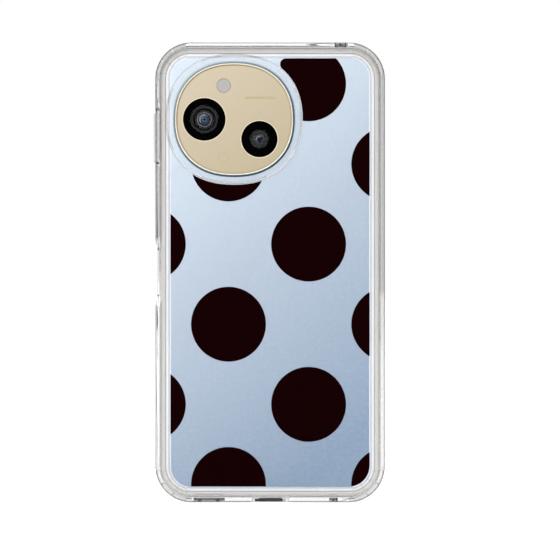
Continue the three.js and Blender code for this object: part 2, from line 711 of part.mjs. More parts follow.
function loudspeaker() {
  return cut(
    slab(roundedRectangle(11, 7, 2.5), -2.0, 2.0, 4),
    upright(stadium(3.6, 0.9), -9, -4).translate(0, KEY_Y, 0),
  );
}

const earpiece = () => slab(roundedRectangle(6, 2.7, 1), -0.8, BOARD.nearY - 0.1, 3);
const microphone = () => block(-1.75, 1.75, 1.1, BOARD.nearY - 0.05, -1.3, 1.3);

function hapticCan() {
  return cut(block(-6.5, 6.5, -1.9, BOARD.nearY - 0.1, -4, 4), block(-6.2, 6.2, -1.6, 5, -3.7, 3.7));
}

function screw() {
  return turned([
    [0, 1.6], [0.35, 1.6], [0.35, 1.45], [1.2, 1.45], [1.2, 2.1], [0.6, 2.1], [0.6, MIDPLATE.farY - 0.2],
    [0, MIDPLATE.farY - 0.2],
  ], 12);
}

// A strip that carries a dome switch behind each place where the key presses.
function keySwitch(half, behindWall, domes) {
  const inside = -PHONE.halfWidth + INNER + behindWall;
  return join(
    block(inside, inside + 0.4, KEY_Y - 1.1, KEY_Y + 1.1, -half, half),
    ...domes.map((z) => sideSlab(stadium(0.9, 0.899), inside - 0.2, inside + 0.1, 4).translate(0, KEY_Y, z)),
  );
}

// ---------------------------------------------------------------- assembly

function buildPhone() {
  const phone = new THREE.Group();
  piece(phone, "phone_frame", phoneFrame(), material.aluminium);
  piece(phone, "back_shell", backShell(), material.blueBack);
  piece(phone, "island_plate", islandPlate(), material.gold);
  piece(phone, "island_trim", islandTrim(), material.goldTrim);
  piece(phone, "display_glass", displayGlass(), material.screenGlass);
  piece(phone, "display_panel", displayPanel(), material.screenPanel);
  piece(phone, "earpiece_mesh", block(-5.8, 5.8, 4.85, 5.05, 73.6, 73.95), material.darkGrey);
  piece(phone, "volume_key", sideKey(VOLUME.half, 1.0, PHONE.halfWidth + 0.3, 0.35), material.blueBack, 0, VOLUME.z);
  piece(phone, "power_key", sideKey(POWER.half, 1.3, PHONE.halfWidth, 0.05), material.aluminium, 0, POWER.z);
  buildCamera(phone, "wide", WIDE, wideBarrel, -3.0, 0.5);
  buildCamera(phone, "ultrawide", ULTRA, ultraBarrel, -3.1, 0.4);
  piece(phone, "flash_lens", flashLens(), material.lampLens, FLASH.x, FLASH.z);
  piece(phone, "flash_led", flashLed(), material.flex, FLASH.x, FLASH.z);
  piece(phone, "front_camera", frontCamera(), material.black, SELFIE.x, SELFIE.z);
  piece(phone, "mainboard", mainboard(), material.circuit);
  piece(phone, "shield_can", shieldCan(), material.steel, 20.5, 40);
  piece(phone, "sim_tray", simTray(), material.aluminium, 0, SIM.z);
  piece(phone, "sim_reader", simReader(), material.steel, 0, SIM.z);
  piece(phone, "battery", slab(roundedRectangle(29, 38, 1.5), -1.8, 3.2, 3), material.battery, 0, -12);
  piece(phone, "sub_board", subBoard(), material.circuit);
  piece(phone, "charging_port", usbPort(), material.steel, USB.x, 0);
  piece(phone, "main_flex", mainFlex(), material.flex);
  piece(phone, "contactless_coil", contactlessCoil(), material.copper, -9, 12);
  piece(phone, "graphite_sheet", block(-8, 8, 3.07, 3.33, -9, 9), material.graphite, 20.5, 40);
  piece(phone, "loudspeaker", loudspeaker(), material.black, SPEAKER_X, -64);
  piece(phone, "earpiece", earpiece(), material.darkGrey, 11, 68.9);
  piece(phone, "lower_microphone", microphone(), material.steel, LOWER_MIC_X, -69.6);
  piece(phone, "upper_microphone", microphone(), material.steel, UPPER_MIC_X, 69.6);
  piece(phone, "haptic_motor_can", hapticCan(), material.steel, 19, -61);
  piece(phone, "haptic_motor_mass", block(-5, 5, -1.2, 1.7, -3.3, 3.3), material.graphite, 19, -61);
  piece(phone, "power_key_switch", keySwitch(4, 1.05, [0]), material.flex, 0, POWER.z);
  piece(phone, "volume_key_switches", keySwitch(8, 1.2, [-5.5, 5.5]), material.flex, 0, VOLUME.z);
  SCREWS.forEach(([x, z], i) => piece(phone, `board_screw_${i + 1}`, screw(), material.steel, x, z));
  return phone;
}

const product = new THREE.Group();
product.add(buildCover(), buildPhone());
product.children.forEach((group) => group.position.setZ(COVER.halfHeight));

export default product;
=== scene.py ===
"""Looks for a smartphone in a clear hard-backed cover with round black dots, standing on its lower edge.

Lengths in this script are millimetres about the phone's own centre, with X across the width, -Y out of the
camera side and Z along the length. place() turns them into metres in the CAD frame.
"""

import json
import math
from types import SimpleNamespace as Sizes

import bpy
import bmesh
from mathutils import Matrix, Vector


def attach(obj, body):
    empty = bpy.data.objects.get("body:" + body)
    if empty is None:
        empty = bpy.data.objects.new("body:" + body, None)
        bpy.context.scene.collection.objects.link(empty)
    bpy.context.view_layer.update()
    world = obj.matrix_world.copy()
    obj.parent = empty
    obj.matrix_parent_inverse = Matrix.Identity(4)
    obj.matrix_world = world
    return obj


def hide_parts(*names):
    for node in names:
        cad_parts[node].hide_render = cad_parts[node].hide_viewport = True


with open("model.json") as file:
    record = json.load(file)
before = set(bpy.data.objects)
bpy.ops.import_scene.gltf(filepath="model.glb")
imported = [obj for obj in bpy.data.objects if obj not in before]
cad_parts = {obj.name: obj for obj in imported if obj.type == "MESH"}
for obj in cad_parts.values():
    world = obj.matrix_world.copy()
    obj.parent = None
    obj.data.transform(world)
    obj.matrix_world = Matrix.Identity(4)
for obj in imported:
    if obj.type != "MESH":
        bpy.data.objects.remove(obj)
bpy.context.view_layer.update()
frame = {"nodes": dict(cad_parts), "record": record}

MM = 0.001
WHITE = (1, 1, 1, 1)
CENTRE_Z = 76.5

# The cover and the phone, as the CAD has them.
PHONE = Sizes(half_w=36.5, half_h=74.5, corner=10.3, back=-3.45, front=5.45)
COVER = Sizes(half_w=38.2, half_h=76.5, corner=12.0, back=-4.95, lip=6.35)
PLATE = Sizes(half_w=33.1, half_h=71.1, corner=7.0, flange=1.2, inner=-3.6, step=-4.1, outer=-4.8)
ISLAND = Sizes(x=-11.96, z=50.9, half_w=19.6, half_h=18.6, power=2.25, top=-5.15, trim=0.42)
GUARD = Sizes(inner=0.8, outer=3.0, top=-6.35, to_plate=3.16, left_fillet=3.3, top_fillet=2.0)
DOT = Sizes(radius=12.43, pitch=26.6, x=12.8, z=62.6, thick=0.08)
WIDE = Sizes(x=-21.84, z=50.8, bezel=7.0, glass=5.0, barrel=4.6, lens=2.3)
ULTRA = Sizes(x=-3.53, z=44.25, bezel=5.95, glass=3.5, barrel=3.13, lens=1.55)
LAMP = Sizes(x=-15.4, z=62.0, radius=2.26)
KEY_Y = 1.0
VOLUME = Sizes(z=45.35, half=8.4, pad=8.95, gap=0.35, out=38.85)
POWER = Sizes(half=6.3, flat=8.0, end=11.7, depth=0.8)
PORT = Sizes(x=0.1, half_w=4.47, half_t=1.6, depth=7.3)
SPEAKER_X = -20.4
LOWER_MIC_X = 21.0
UPPER_MIC_X = 23.4
WINDOW = Sizes(port=6.2, speaker=5.15, lower_mic=1.5, upper_mic=1.95)
CELL = Sizes(pitch=0.43, half=0.19)
SHELL_INSET = 1.85
WALL = 2.4
CORNER_STEPS = 20


# ---------------------------------------------------------------- camera, light and floor

def srgb(r, g, b):
    """A colour as a picture shows it, 0 to 255, made linear."""
    def linear(c):
        c /= 255
        return c / 12.92 if c <= 0.04045 else ((c + 0.055) / 1.055) ** 2.4
    return (linear(r), linear(g), linear(b), 1.0)


def make_camera():
    lens, field, aim = 250.0, 0.1859, Vector((3.30 * MM, 0.0, 73.98 * MM))
    data = bpy.data.cameras.new("camera")
    data.lens = lens
    data.clip_end = 60.0
    camera = bpy.data.objects.new("camera", data)
    distance = field * lens / data.sensor_width
    camera.location = aim + Vector((0, COVER.back * MM - distance, 0))
    camera.rotation_euler = (math.pi / 2, 0, 0)
    bpy.context.scene.collection.objects.link(camera)
    bpy.context.scene.camera = camera


def area_light(name, place_at, aim, size, power):
    data = bpy.data.lights.new(name, "AREA")
    data.shape = "RECTANGLE"
    data.size, data.size_y = size
    data.energy = power
    light = bpy.data.objects.new(name, data)
    light.location = place_at
    light.rotation_euler = (Vector(aim) - Vector(place_at)).to_track_quat("-Z", "Y").to_euler()
    light.visible_camera = light.visible_glossy = light.visible_transmission = False
    bpy.context.scene.collection.objects.link(light)


def make_world():
    """A white studio with darker sides and a duller back wall, so that clear edges draw grey lines."""
    world = bpy.data.worlds.new("studio")
    bpy.context.scene.world = world
    world.use_nodes = True
    nt = world.node_tree
    nt.nodes.clear()
    coord = nt.nodes.new("ShaderNodeTexCoord")
    parts = nt.nodes.new("ShaderNodeSeparateXYZ")
    nt.links.new(coord.outputs["Generated"], parts.inputs[0])
    turn = nt.nodes.new("ShaderNodeMapRange")
    turn.inputs["From Min"].default_value = -1.0
    nt.links.new(parts.outputs["Y"], turn.inputs["Value"])
    front, side, back = 1.0, 0.66, 0.90
    levels = [(0.0, front), (0.2, front), (0.45, side), (0.55, side), (0.8, back), (1.0, back)]
    around = nt.nodes.new("ShaderNodeBackground")
    greys = colour_ramp(nt, turn.outputs["Result"], [(at, (v, v, v, 1)) for at, v in levels])
    nt.links.new(greys, around.inputs["Color"])
    seen = nt.nodes.new("ShaderNodeBackground")
    seen.inputs["Color"].default_value = WHITE
    path = nt.nodes.new("ShaderNodeLightPath")
    mix = nt.nodes.new("ShaderNodeMixShader")
    nt.links.new(path.outputs["Is Camera Ray"], mix.inputs[0])
    nt.links.new(around.outputs[0], mix.inputs[1])
    nt.links.new(seen.outputs[0], mix.inputs[2])
    out = nt.nodes.new("ShaderNodeOutputWorld")
    nt.links.new(mix.outputs[0], out.inputs["Surface"])


def make_floor():
    mesh = bpy.data.meshes.new("floor")
    reach = 12.0
    corners = [(-reach, -reach, 0), (reach, -reach, 0), (reach, reach, 0), (-reach, reach, 0)]
    mesh.from_pydata(corners, [], [(0, 1, 2, 3)])
    floor = bpy.data.objects.new("floor", mesh)
    bpy.context.scene.collection.objects.link(floor)
    material, _, bsdf = principled("floor_paper", (0.93, 0.93, 0.93, 1), 0.9, specular=0.1)
    bsdf.inputs["Emission Color"].default_value = WHITE
    bsdf.inputs["Emission Strength"].default_value = 0.45
    mesh.materials.append(material)


# ---------------------------------------------------------------- materials

def principled(name, colour, roughness, metallic=0.0, specular=0.5, ior=1.5, transmission=0.0, coat=0.0):
    material = bpy.data.materials.new(name)
    material.use_nodes = True
    nt = material.node_tree
    bsdf = nt.nodes["Principled BSDF"]
    bsdf.inputs["Base Color"].default_value = colour
    bsdf.inputs["Roughness"].default_value = roughness
    bsdf.inputs["Metallic"].default_value = metallic
    bsdf.inputs["Specular IOR Level"].default_value = specular
    bsdf.inputs["IOR"].default_value = ior
    bsdf.inputs["Transmission Weight"].default_value = transmission
    bsdf.inputs["Coat Weight"].default_value = coat
    bsdf.inputs["Coat Roughness"].default_value = 0.05
    return material, nt, bsdf


def math_node(nt, operation, a, b=None):
    node = nt.nodes.new("ShaderNodeMath")
    node.operation = operation
    for socket, value in ((node.inputs[0], a), (node.inputs[1], b)):
        if isinstance(value, bpy.types.NodeSocket):
            nt.links.new(value, socket)
        elif value is not None:
            socket.default_value = value
    return node.outputs[0]


def plus(nt, a, b):
    return math_node(nt, "ADD", a, b)


def minus(nt, a, b):
    return math_node(nt, "SUBTRACT", a, b)


def times(nt, a, b):
    return math_node(nt, "MULTIPLY", a, b)


def over(nt, a, b):
    return math_node(nt, "DIVIDE", a, b)


def more(nt, a, b):
    return math_node(nt, "GREATER_THAN", a, b)


def less(nt, a, b):
    return math_node(nt, "LESS_THAN", a, b)


def larger(nt, a, b):
    return math_node(nt, "MAXIMUM", a, b)


def smaller(nt, a, b):
    return math_node(nt, "MINIMUM", a, b)


def object_coord(nt):
    return nt.nodes.new("ShaderNodeTexCoord").outputs["Object"]


def noise(nt, scale, detail=2.0):
    """Noise in the object's own metres."""
    texture = nt.nodes.new("ShaderNodeTexNoise")
    texture.inputs["Scale"].default_value = scale
    texture.inputs["Detail"].default_value = detail
    nt.links.new(object_coord(nt), texture.inputs["Vector"])
    return texture.outputs["Fac"]


def add_bump(nt, bsdf, height, strength, distance=0.00005):
    bump = nt.nodes.new("ShaderNodeBump")
    bump.inputs["Strength"].default_value = strength
    bump.inputs["Distance"].default_value = distance
    nt.links.new(height, bump.inputs["Height"])
    nt.links.new(bump.outputs["Normal"], bsdf.inputs["Normal"])


def spread(nt, value, low, high):
    """Maps a 0 to 1 value onto low to high."""
    ramp = nt.nodes.new("ShaderNodeMapRange")
    ramp.inputs["From Min"].default_value = 0.3
    ramp.inputs["From Max"].default_value = 0.7
    ramp.inputs["To Min"].default_value = low
    ramp.inputs["To Max"].default_value = high
    nt.links.new(value, ramp.inputs["Value"])
    return ramp.outputs["Result"]


def mix_colour(nt, factor, a, b):
    mix = nt.nodes.new("ShaderNodeMix")
    mix.data_type = "RGBA"
    for socket, value in ((mix.inputs[0], factor), (mix.inputs[6], a), (mix.inputs[7], b)):
        if isinstance(value, bpy.types.NodeSocket):
            nt.links.new(value, socket)
        else:
            socket.default_value = value
    return mix.outputs[2]


def paint(nt, bsdf, factor, a, b):
    nt.links.new(mix_colour(nt, factor, a, b), bsdf.inputs["Base Color"])


def roughen(nt, bsdf, value, low, high):
    nt.links.new(spread(nt, value, low, high), bsdf.inputs["Roughness"])


def grained(name, colour, roughness, metallic=0.0, scale=1500.0, vary=0.12, bump=0.15, **extra):
    """A plain finish with a fine grain in its colour, roughness and surface."""
    material, nt, bsdf = principled(name, colour, roughness, metallic, **extra)
    grain = noise(nt, scale)
    dark = tuple(c * (1 - vary) for c in colour[:3]) + (1,)
    light = tuple(min(1, c * (1 + vary)) for c in colour[:3]) + (1,)
    paint(nt, bsdf, spread(nt, grain, 0, 1), dark, light)
    roughen(nt, bsdf, noise(nt, scale / 8), roughness * 0.85, min(1, roughness * 1.15))
    add_bump(nt, bsdf, grain, bump, 0.00002)
    return material


def beyond(nt, output, centre, half):
    """How far a coordinate lies beyond a span about a centre, in metres; negative inside it."""
    offset = math_node(nt, "ABSOLUTE", minus(nt, output, centre * MM))
    return minus(nt, offset, half * MM)


def outline_depth(nt, position):
    """How far a point lies inside the cover's outline, in millimetres."""
    def squared(value):
        outside = larger(nt, value, 0.0)
        return times(nt, outside, outside)

    dx = beyond(nt, position["X"], 0.0, COVER.half_w - COVER.corner)
    dz = beyond(nt, position["Z"], CENTRE_Z, COVER.half_h - COVER.corner)
    corner = math_node(nt, "SQRT", plus(nt, squared(dx), squared(dz)))
    flat = smaller(nt, larger(nt, dx, dz), 0.0)
    depth = minus(nt, COVER.corner * MM, plus(nt, corner, flat))
    return over(nt, depth, MM)


def island_distance(nt, position):
    """How far a point lies outside the island's edge, in millimetres."""
    def share(output, centre, half):
        offset = math_node(nt, "ABSOLUTE", minus(nt, output, centre * MM))
        return math_node(nt, "POWER", over(nt, offset, half * MM), ISLAND.power)

    total = plus(nt, share(position["X"], ISLAND.x, ISLAND.half_w),
                 share(position["Z"], ISLAND.z + CENTRE_Z, ISLAND.half_h))
    size = math_node(nt, "POWER", total, 1 / ISLAND.power)
    mean = (ISLAND.half_w + ISLAND.half_h) / 2
    return times(nt, minus(nt, size, 1.0), mean)


def lines(nt, distance, reach, stops):
    """Greys by distance in millimetres, from 0 to reach."""
    grey = [(d / reach, srgb(*level)) for d, level in stops]
    return colour_ramp(nt, over(nt, distance, reach), grey)


def object_position(nt):
    parts = nt.nodes.new("ShaderNodeSeparateXYZ")
    nt.links.new(object_coord(nt), parts.inputs[0])
    return parts.outputs


def clear_plastic(name, tint, roughness, ior, density, waviness):
    """Clear plastic: glass that lamps shine through, with a faint tint in its depth and slow waves."""
    material, nt, bsdf = principled(name, WHITE, roughness, ior=ior, transmission=1.0)
    add_bump(nt, bsdf, noise(nt, 260.0, 1.0), waviness, 0.00006)
    roughen(nt, bsdf, noise(nt, 900.0), roughness * 0.6, roughness * 1.4)
    out = nt.nodes["Material Output"]
    clear = nt.nodes.new("ShaderNodeBsdfTransparent")
    path = nt.nodes.new("ShaderNodeLightPath")
    seen = bsdf.outputs[0]
    for ray in ("Is Diffuse Ray", "Is Shadow Ray"):
        mix = nt.nodes.new("ShaderNodeMixShader")
        nt.links.new(path.outputs[ray], mix.inputs[0])
        nt.links.new(seen, mix.inputs[1])
        nt.links.new(clear.outputs[0], mix.inputs[2])
        seen = mix.outputs[0]
    nt.links.new(seen, out.inputs["Surface"])
    depth = nt.nodes.new("ShaderNodeVolumeAbsorption")
    depth.inputs["Color"].default_value = tint
    depth.inputs["Density"].default_value = density
    nt.links.new(depth.outputs[0], out.inputs["Volume"])
    return material, nt, bsdf


def painted_shade_lines(nt, distance, reach, stops):
    """Painted shade lines on clear plastic, squared, because its shader takes the root of a colour where
    light enters.
    """
    seen = lines(nt, distance, reach, stops)
    return blend(nt, "MULTIPLY", seen, seen)


def blend(nt, kind, a, b):
    mix = nt.nodes.new("ShaderNodeMix")
    mix.data_type = "RGBA"
    mix.blend_type = kind
    mix.inputs[0].default_value = 1.0
    nt.links.new(a, mix.inputs[6])
    nt.links.new(b, mix.inputs[7])
    return mix.outputs[2]


# Tones, 0 to 255, of the painted shade lines on the clear bumper's back, painted in place of the lines that
# clear plastic draws where a piece ends behind it.
CLEAR = (255, 255, 255)
BAND_SHADE_TONE = (245, 244, 243)
OUTER_WALL_SHADE_TONE = (80, 80, 80)
# The top wall's line is painted lighter than the others: painted light, as the top is lit.
LIT_WALL_TONE = (140, 140, 140)
PHONE_EDGE_SHADE_TONE = (200, 200, 200)
SHELL_EDGE_SHADE_TONE = (228, 224, 216)
SEAM_SHADE_TONE = (212, 212, 210)
RIB_SHADE_TONE = (225, 225, 225)
GUARD_SHADE_TONE = (220, 220, 220)
OPENING_SHADE_TONE = 130
BLOCK_HIGHLIGHT_TONE = 255

# Half-widths of the painted shade lines in millimetres, of a rib in degrees, and the distances that the ramps
# cover.
WALL_LINE = 0.7
SEAM_LINE = 0.4
RIB_HALF = 1.4
LINE_REACH = 6.0
GUARD_REACH = 4.0
MARK_REACH = 60.0


def soft_lines(*drawn, ground=CLEAR):
    """Stops for painted shade lines given by place, half-width and tone, in rising order, with the ground
    between them.
    """
    stops = []
    for at, half, tone in drawn:
        stops += [(at - half, ground), (at - half / 3, tone), (at + half / 3, tone), (at + half, ground)]
    return [(at, tone) for at, tone in stops if at >= 0]


def edge_set(side, wall_tone):
    """Painted shade lines along an edge: the outer wall, the phone's edge, the back shell's edge and the
    plate's seam.
    """
    phone = getattr(COVER, side) - getattr(PHONE, side)
    seam = getattr(COVER, side) - getattr(PLATE, side)
    across = soft_lines((0.0, WALL_LINE, wall_tone), (phone, 0.5, PHONE_EDGE_SHADE_TONE),
                        (phone + SHELL_INSET, 0.35, SHELL_EDGE_SHADE_TONE),
                        (seam - SEAM_LINE, SEAM_LINE, SEAM_SHADE_TONE), ground=BAND_SHADE_TONE)
    return across + [(seam + 0.05, CLEAR)]


def rib_stops():
    """A painted shade line at each side of the three air cells, by the angle round the corner in degrees."""
    stops = []
    for part in (-1, 0, 1):
        for edge in (-1, 1):
            at = 45 + math.degrees(part * CELL.pitch + edge * CELL.half)
            stops += [(at - RIB_HALF, CLEAR), (at, RIB_SHADE_TONE), (at + RIB_HALF, CLEAR)]
    return stops


def opening_stops(openings):
    """Along an edge: a painted highlight block at each end of an opening, and the opening's painted shade
    tone between them.
    """
    stops = []
    for centre, half, block, tone in openings:
        stops += [(centre - half - block, BLOCK_HIGHLIGHT_TONE), (centre - half, tone), (centre + half, BLOCK_HIGHLIGHT_TONE),
                  (centre + half + block, None)]
    return stops


def marked(nt, along, depth, openings, plain):
    """Lays the painted shade and highlights of one edge's openings over its lines; along is in metres from
    the middle of the edge.
    """
    share = plus(nt, over(nt, along, 2 * MARK_REACH * MM), 0.5)
    levels = [(0.0, (1, 1, 1, 0))]
    for at, level in opening_stops(openings):
        shade = (1, 1, 1, 0) if level is None else srgb(level, level, level)
        levels.append((at / (2 * MARK_REACH) + 0.5, shade))
    colour = colour_ramp(nt, share, levels)
    ramp = colour.node
    ramp.color_ramp.interpolation = "CONSTANT"
    shallow = more(nt, depth, WALL_LINE)
    deep = less(nt, depth, COVER.half_w - PHONE.half_w)
    here = times(nt, times(nt, shallow, deep), ramp.outputs["Alpha"])
    return mix_colour(nt, here, plain, blend(nt, "MULTIPLY", colour, colour))


def painted_edge_shade_lines(nt, position, depth):
    """Painted shade lines on the bumper's back, with its openings along the edges and ribs in the corners."""
    # Openings: painted shade where their walls are seen through the plastic, and painted highlight blocks at
    # their ends.
    block = 1.2
    speaker = (SPEAKER_X, WINDOW.speaker, block, OPENING_SHADE_TONE)
    port = (PORT.x, WINDOW.port, block, None)
    lower_mic = (LOWER_MIC_X, WINDOW.lower_mic, block, OPENING_SHADE_TONE)
    upper_mic = (UPPER_MIC_X, WINDOW.upper_mic, block, OPENING_SHADE_TONE)
    power = (0.0, POWER.flat, POWER.end - POWER.flat, None)
    volume = (VOLUME.z, VOLUME.pad + VOLUME.gap, block, None)
    upright_edges = painted_shade_lines(nt, depth, LINE_REACH, edge_set("half_w", OUTER_WALL_SHADE_TONE))
    bottom = painted_shade_lines(nt, depth, LINE_REACH, edge_set("half_h", OUTER_WALL_SHADE_TONE))
    # The top edge takes the lighter wall line, painted light for the lit top.
    top = painted_shade_lines(nt, depth, LINE_REACH, edge_set("half_h", LIT_WALL_TONE))
    up = minus(nt, position["Z"], CENTRE_Z * MM)
    left = marked(nt, up, depth, [power, volume], upright_edges)
    bottom = marked(nt, position["X"], depth, [speaker, port, lower_mic], bottom)
    top = marked(nt, position["X"], depth, [upper_mic], top)
    on_right = more(nt, position["X"], 0.0)
    on_top = more(nt, position["Z"], CENTRE_Z * MM)
    sides = mix_colour(nt, on_right, left, upright_edges)
    ends = mix_colour(nt, on_top, bottom, top)
    overlap = 1.3
    dx = beyond(nt, position["X"], 0.0, COVER.half_w - COVER.corner + overlap)
    dz = beyond(nt, position["Z"], CENTRE_Z, COVER.half_h - COVER.corner + overlap)
    straight = mix_colour(nt, more(nt, dz, dx), sides, ends)
    turn = math_node(nt, "ARCTAN2", plus(nt, dz, overlap * MM), plus(nt, dx, overlap * MM))
    share = over(nt, turn, math.radians(90))
    ribs = colour_ramp(nt, share, [(at / 90, srgb(*tone)) for at, tone in rib_stops()])
    seam = COVER.half_w - PLATE.half_w
    ribs = mix_colour(nt, less(nt, depth, seam), WHITE, ribs)
    in_corner = more(nt, smaller(nt, dx, dz), 0.0)
    return mix_colour(nt, in_corner, straight, blend(nt, "MULTIPLY", upright_edges, ribs))


def painted_shade_bumper_finish():
    """The soft clear bumper, with painted shade: greys painted on its back where its walls, steps and the
    guard's edges stand.
    """
    material, nt, bsdf = clear_plastic("soft_clear_bumper", (0.80, 0.84, 0.88, 1), 0.012, 1.38, 12.0, 0.010)
    position = object_position(nt)
    depth = outline_depth(nt, position)
    away = island_distance(nt, position)
    # Painted shade lines round the guard's foot and along its crest.
    guard_shade_stops = soft_lines((GUARD.inner / 2, 0.5, GUARD_SHADE_TONE), (GUARD.outer, 0.2, GUARD_SHADE_TONE))
    foot = painted_shade_lines(nt, away, GUARD_REACH, guard_shade_stops)
    crest = painted_shade_lines(nt, away, GUARD_REACH, soft_lines((GUARD.outer - 0.5, 0.25, GUARD_SHADE_TONE)))
    straight_share = 0.55
    past_x = beyond(nt, position["X"], ISLAND.x, 0.0)
    past_z = beyond(nt, position["Z"], ISLAND.z + CENTRE_Z, 0.0)
    aside = minus(nt, ISLAND.half_w * straight_share * MM, past_x)
    above = minus(nt, ISLAND.half_h * straight_share * MM, past_z)
    square_on = more(nt, larger(nt, aside, above), 0.0)
    ring = blend(nt, "MULTIPLY", foot, mix_colour(nt, square_on, WHITE, crest))
    both = blend(nt, "MULTIPLY", painted_edge_shade_lines(nt, position, depth), ring)
    skin_edge, skin_slope, skin_deep = -2.3, 1.2, -4.4
    back_limit = larger(nt, minus(nt, skin_edge, times(nt, depth, skin_slope)), skin_deep)
    on_back = less(nt, over(nt, position["Y"], MM), back_limit)
    paint(nt, bsdf, on_back, WHITE, both)
    return material


def pane(name, roughness, head_on):
    """A flat clear pane, with a reflection that grows from its head-on share towards grazing angles."""
    material, nt, bsdf = principled(name, (0.97, 0.985, 1, 1), roughness, ior=1.5)
    roughen(nt, bsdf, noise(nt, 300.0), roughness * 0.6, roughness * 1.5)
    out = nt.nodes["Material Output"]
    clear = nt.nodes.new("ShaderNodeBsdfTransparent")
    facing = nt.nodes.new("ShaderNodeLayerWeight")
    facing.inputs["Blend"].default_value = 0.5
    grazing = math_node(nt, "POWER", facing.outputs["Facing"], 5.0)
    gloss = plus(nt, times(nt, grazing, 1 - head_on), head_on)
    bsdf.inputs["Metallic"].default_value = 1.0
    mix = nt.nodes.new("ShaderNodeMixShader")
    nt.links.new(gloss, mix.inputs[0])
    nt.links.new(clear.outputs[0], mix.inputs[1])
    nt.links.new(bsdf.outputs[0], mix.inputs[2])
    nt.links.new(mix.outputs[0], out.inputs["Surface"])
    return material


def axis_gradient(nt, direction, start, end):
    """0 to 1 along a direction in the object's own frame, between two distances in metres."""
    dot = nt.nodes.new("ShaderNodeVectorMath")
    dot.operation = "DOT_PRODUCT"
    dot.inputs[1].default_value = direction
    nt.links.new(object_coord(nt), dot.inputs[0])
    ramp = nt.nodes.new("ShaderNodeMapRange")
    ramp.inputs["From Min"].default_value = start
    ramp.inputs["From Max"].default_value = end
    nt.links.new(dot.outputs["Value"], ramp.inputs["Value"])
    return ramp.outputs["Result"]


def colour_ramp(nt, factor, stops):
    ramp = nt.nodes.new("ShaderNodeValToRGB")
    ramp.color_ramp.elements[0].position, ramp.color_ramp.elements[0].color = stops[0]
    ramp.color_ramp.elements[1].position, ramp.color_ramp.elements[1].color = stops[-1]
    for position, colour in stops[1:-1]:
        ramp.color_ramp.elements.new(position).color = colour
    nt.links.new(factor, ramp.inputs["Fac"])
    return ramp.outputs["Color"]


def three_tones(nt, along, low, middle, high, middle_at=0.5):
    return colour_ramp(nt, along, [(0.0, srgb(*low)), (middle_at, srgb(*middle)), (1.0, srgb(*high))])


def blue_finish():
    """The satin back: pale blue that deepens from the upper left to the lower right as painted shade, with a
    pale painted highlight along its rim and a pearl sparkle.
    """
    material, nt, bsdf = principled("blue_satin", WHITE, 0.42, 0.0, specular=0.35)
    # Painted shade: lighter at the upper left and deeper at the lower right, as the light falls across the
    # back.
    along = axis_gradient(nt, (-0.62, 0, 0.785), 0.0, 0.120)
    base = three_tones(nt, along, (115, 138, 163), (160, 174, 190), (199, 210, 221))
    # Painted highlight: a pale band within 5.1 mm of the cover's outline, where the glass's curved edge
    # catches light.
    pale = over(nt, outline_depth(nt, object_position(nt)), 6.0)
    rim = colour_ramp(nt, pale, [(0.0, WHITE), (5.1 / 6, WHITE), (5.35 / 6, (0, 0, 0, 1))])
    base = mix_colour(nt, rim, base, srgb(226, 230, 238))
    sparkle = noise(nt, 5200.0, 1.0)
    cloud = noise(nt, 900.0, 2.0)
    darker = mix_colour(nt, spread(nt, sparkle, 0.0, 0.09), base, (0.08, 0.14, 0.24, 1))
    paint(nt, bsdf, spread(nt, cloud, 0.0, 0.05), darker, (0.95, 0.97, 1, 1))
    roughen(nt, bsdf, sparkle, 0.34, 0.5)
    add_bump(nt, bsdf, sparkle, 0.12, 0.00002)
    return material


def gold_finish():
    """The island's golden plate, a little deeper towards the lower right as painted shade, with a very fine
    satin grain.
    """
    material, nt, bsdf = principled("golden_satin", WHITE, 0.4, 0.25, specular=0.4)
    # Painted shade: lighter at the upper left, deeper at the lower right.
    along = axis_gradient(nt, (-0.6, 0, 0.8), 0.077, 0.125)
    base = three_tones(nt, along, (169, 156, 128), (180, 167, 141), (191, 178, 156))
    grain = noise(nt, 4200.0, 2.0)
    paint(nt, bsdf, spread(nt, grain, 0.0, 0.10), base, (0.42, 0.36, 0.24, 1))
    roughen(nt, bsdf, grain, 0.34, 0.46)
    add_bump(nt, bsdf, grain, 0.1, 0.00002)
    return material


def painted_chamfer_shade_finish():
    """Painted shade in place of the plate's chamfered edge: a flat olive gold ring, darkest towards the upper
    left.
    """
    material, nt, bsdf = principled("painted_chamfer_shade_olive", WHITE, 0.4, 0.1, specular=0.2)
    along = axis_gradient(nt, (-0.6, 0, 0.8), 0.080, 0.128)
    base = three_tones(nt, along, (172, 160, 130), (168, 155, 124), (142, 129, 98))
    paint(nt, bsdf, spread(nt, noise(nt, 4200.0), 0.0, 0.12), base, srgb(120, 108, 80))
    return material


def gap_shade_finish():
    """Painted shade in the gap round the island, as a thin dark ring: steel blue at the upper left, deep navy
    at the lower right.
    """
    material, nt, bsdf = principled("painted_gap_shade_blue", WHITE, 0.5, specular=0.1)
    along = axis_gradient(nt, (-0.6, 0, 0.8), 0.080, 0.128)
    base = three_tones(nt, along, (30, 48, 62), (78, 98, 114), (150, 168, 180), 0.45)
    paint(nt, bsdf, spread(nt, noise(nt, 3000.0), 0.0, 0.15), base, srgb(20, 30, 40))
    return material


def ink_finish():
    """Printed ink: near black with a warm cast and the faint mottle of a solid print."""
    material, nt, bsdf = principled("dot_ink", WHITE, 0.6, specular=0.0)
    mottle = noise(nt, 1400.0, 3.0)
    paint(nt, bsdf, spread(nt, mottle, 0, 1), srgb(15, 1, 2), srgb(20, 3, 4))
    add_bump(nt, bsdf, mottle, 0.2, 0.00002)
    return material


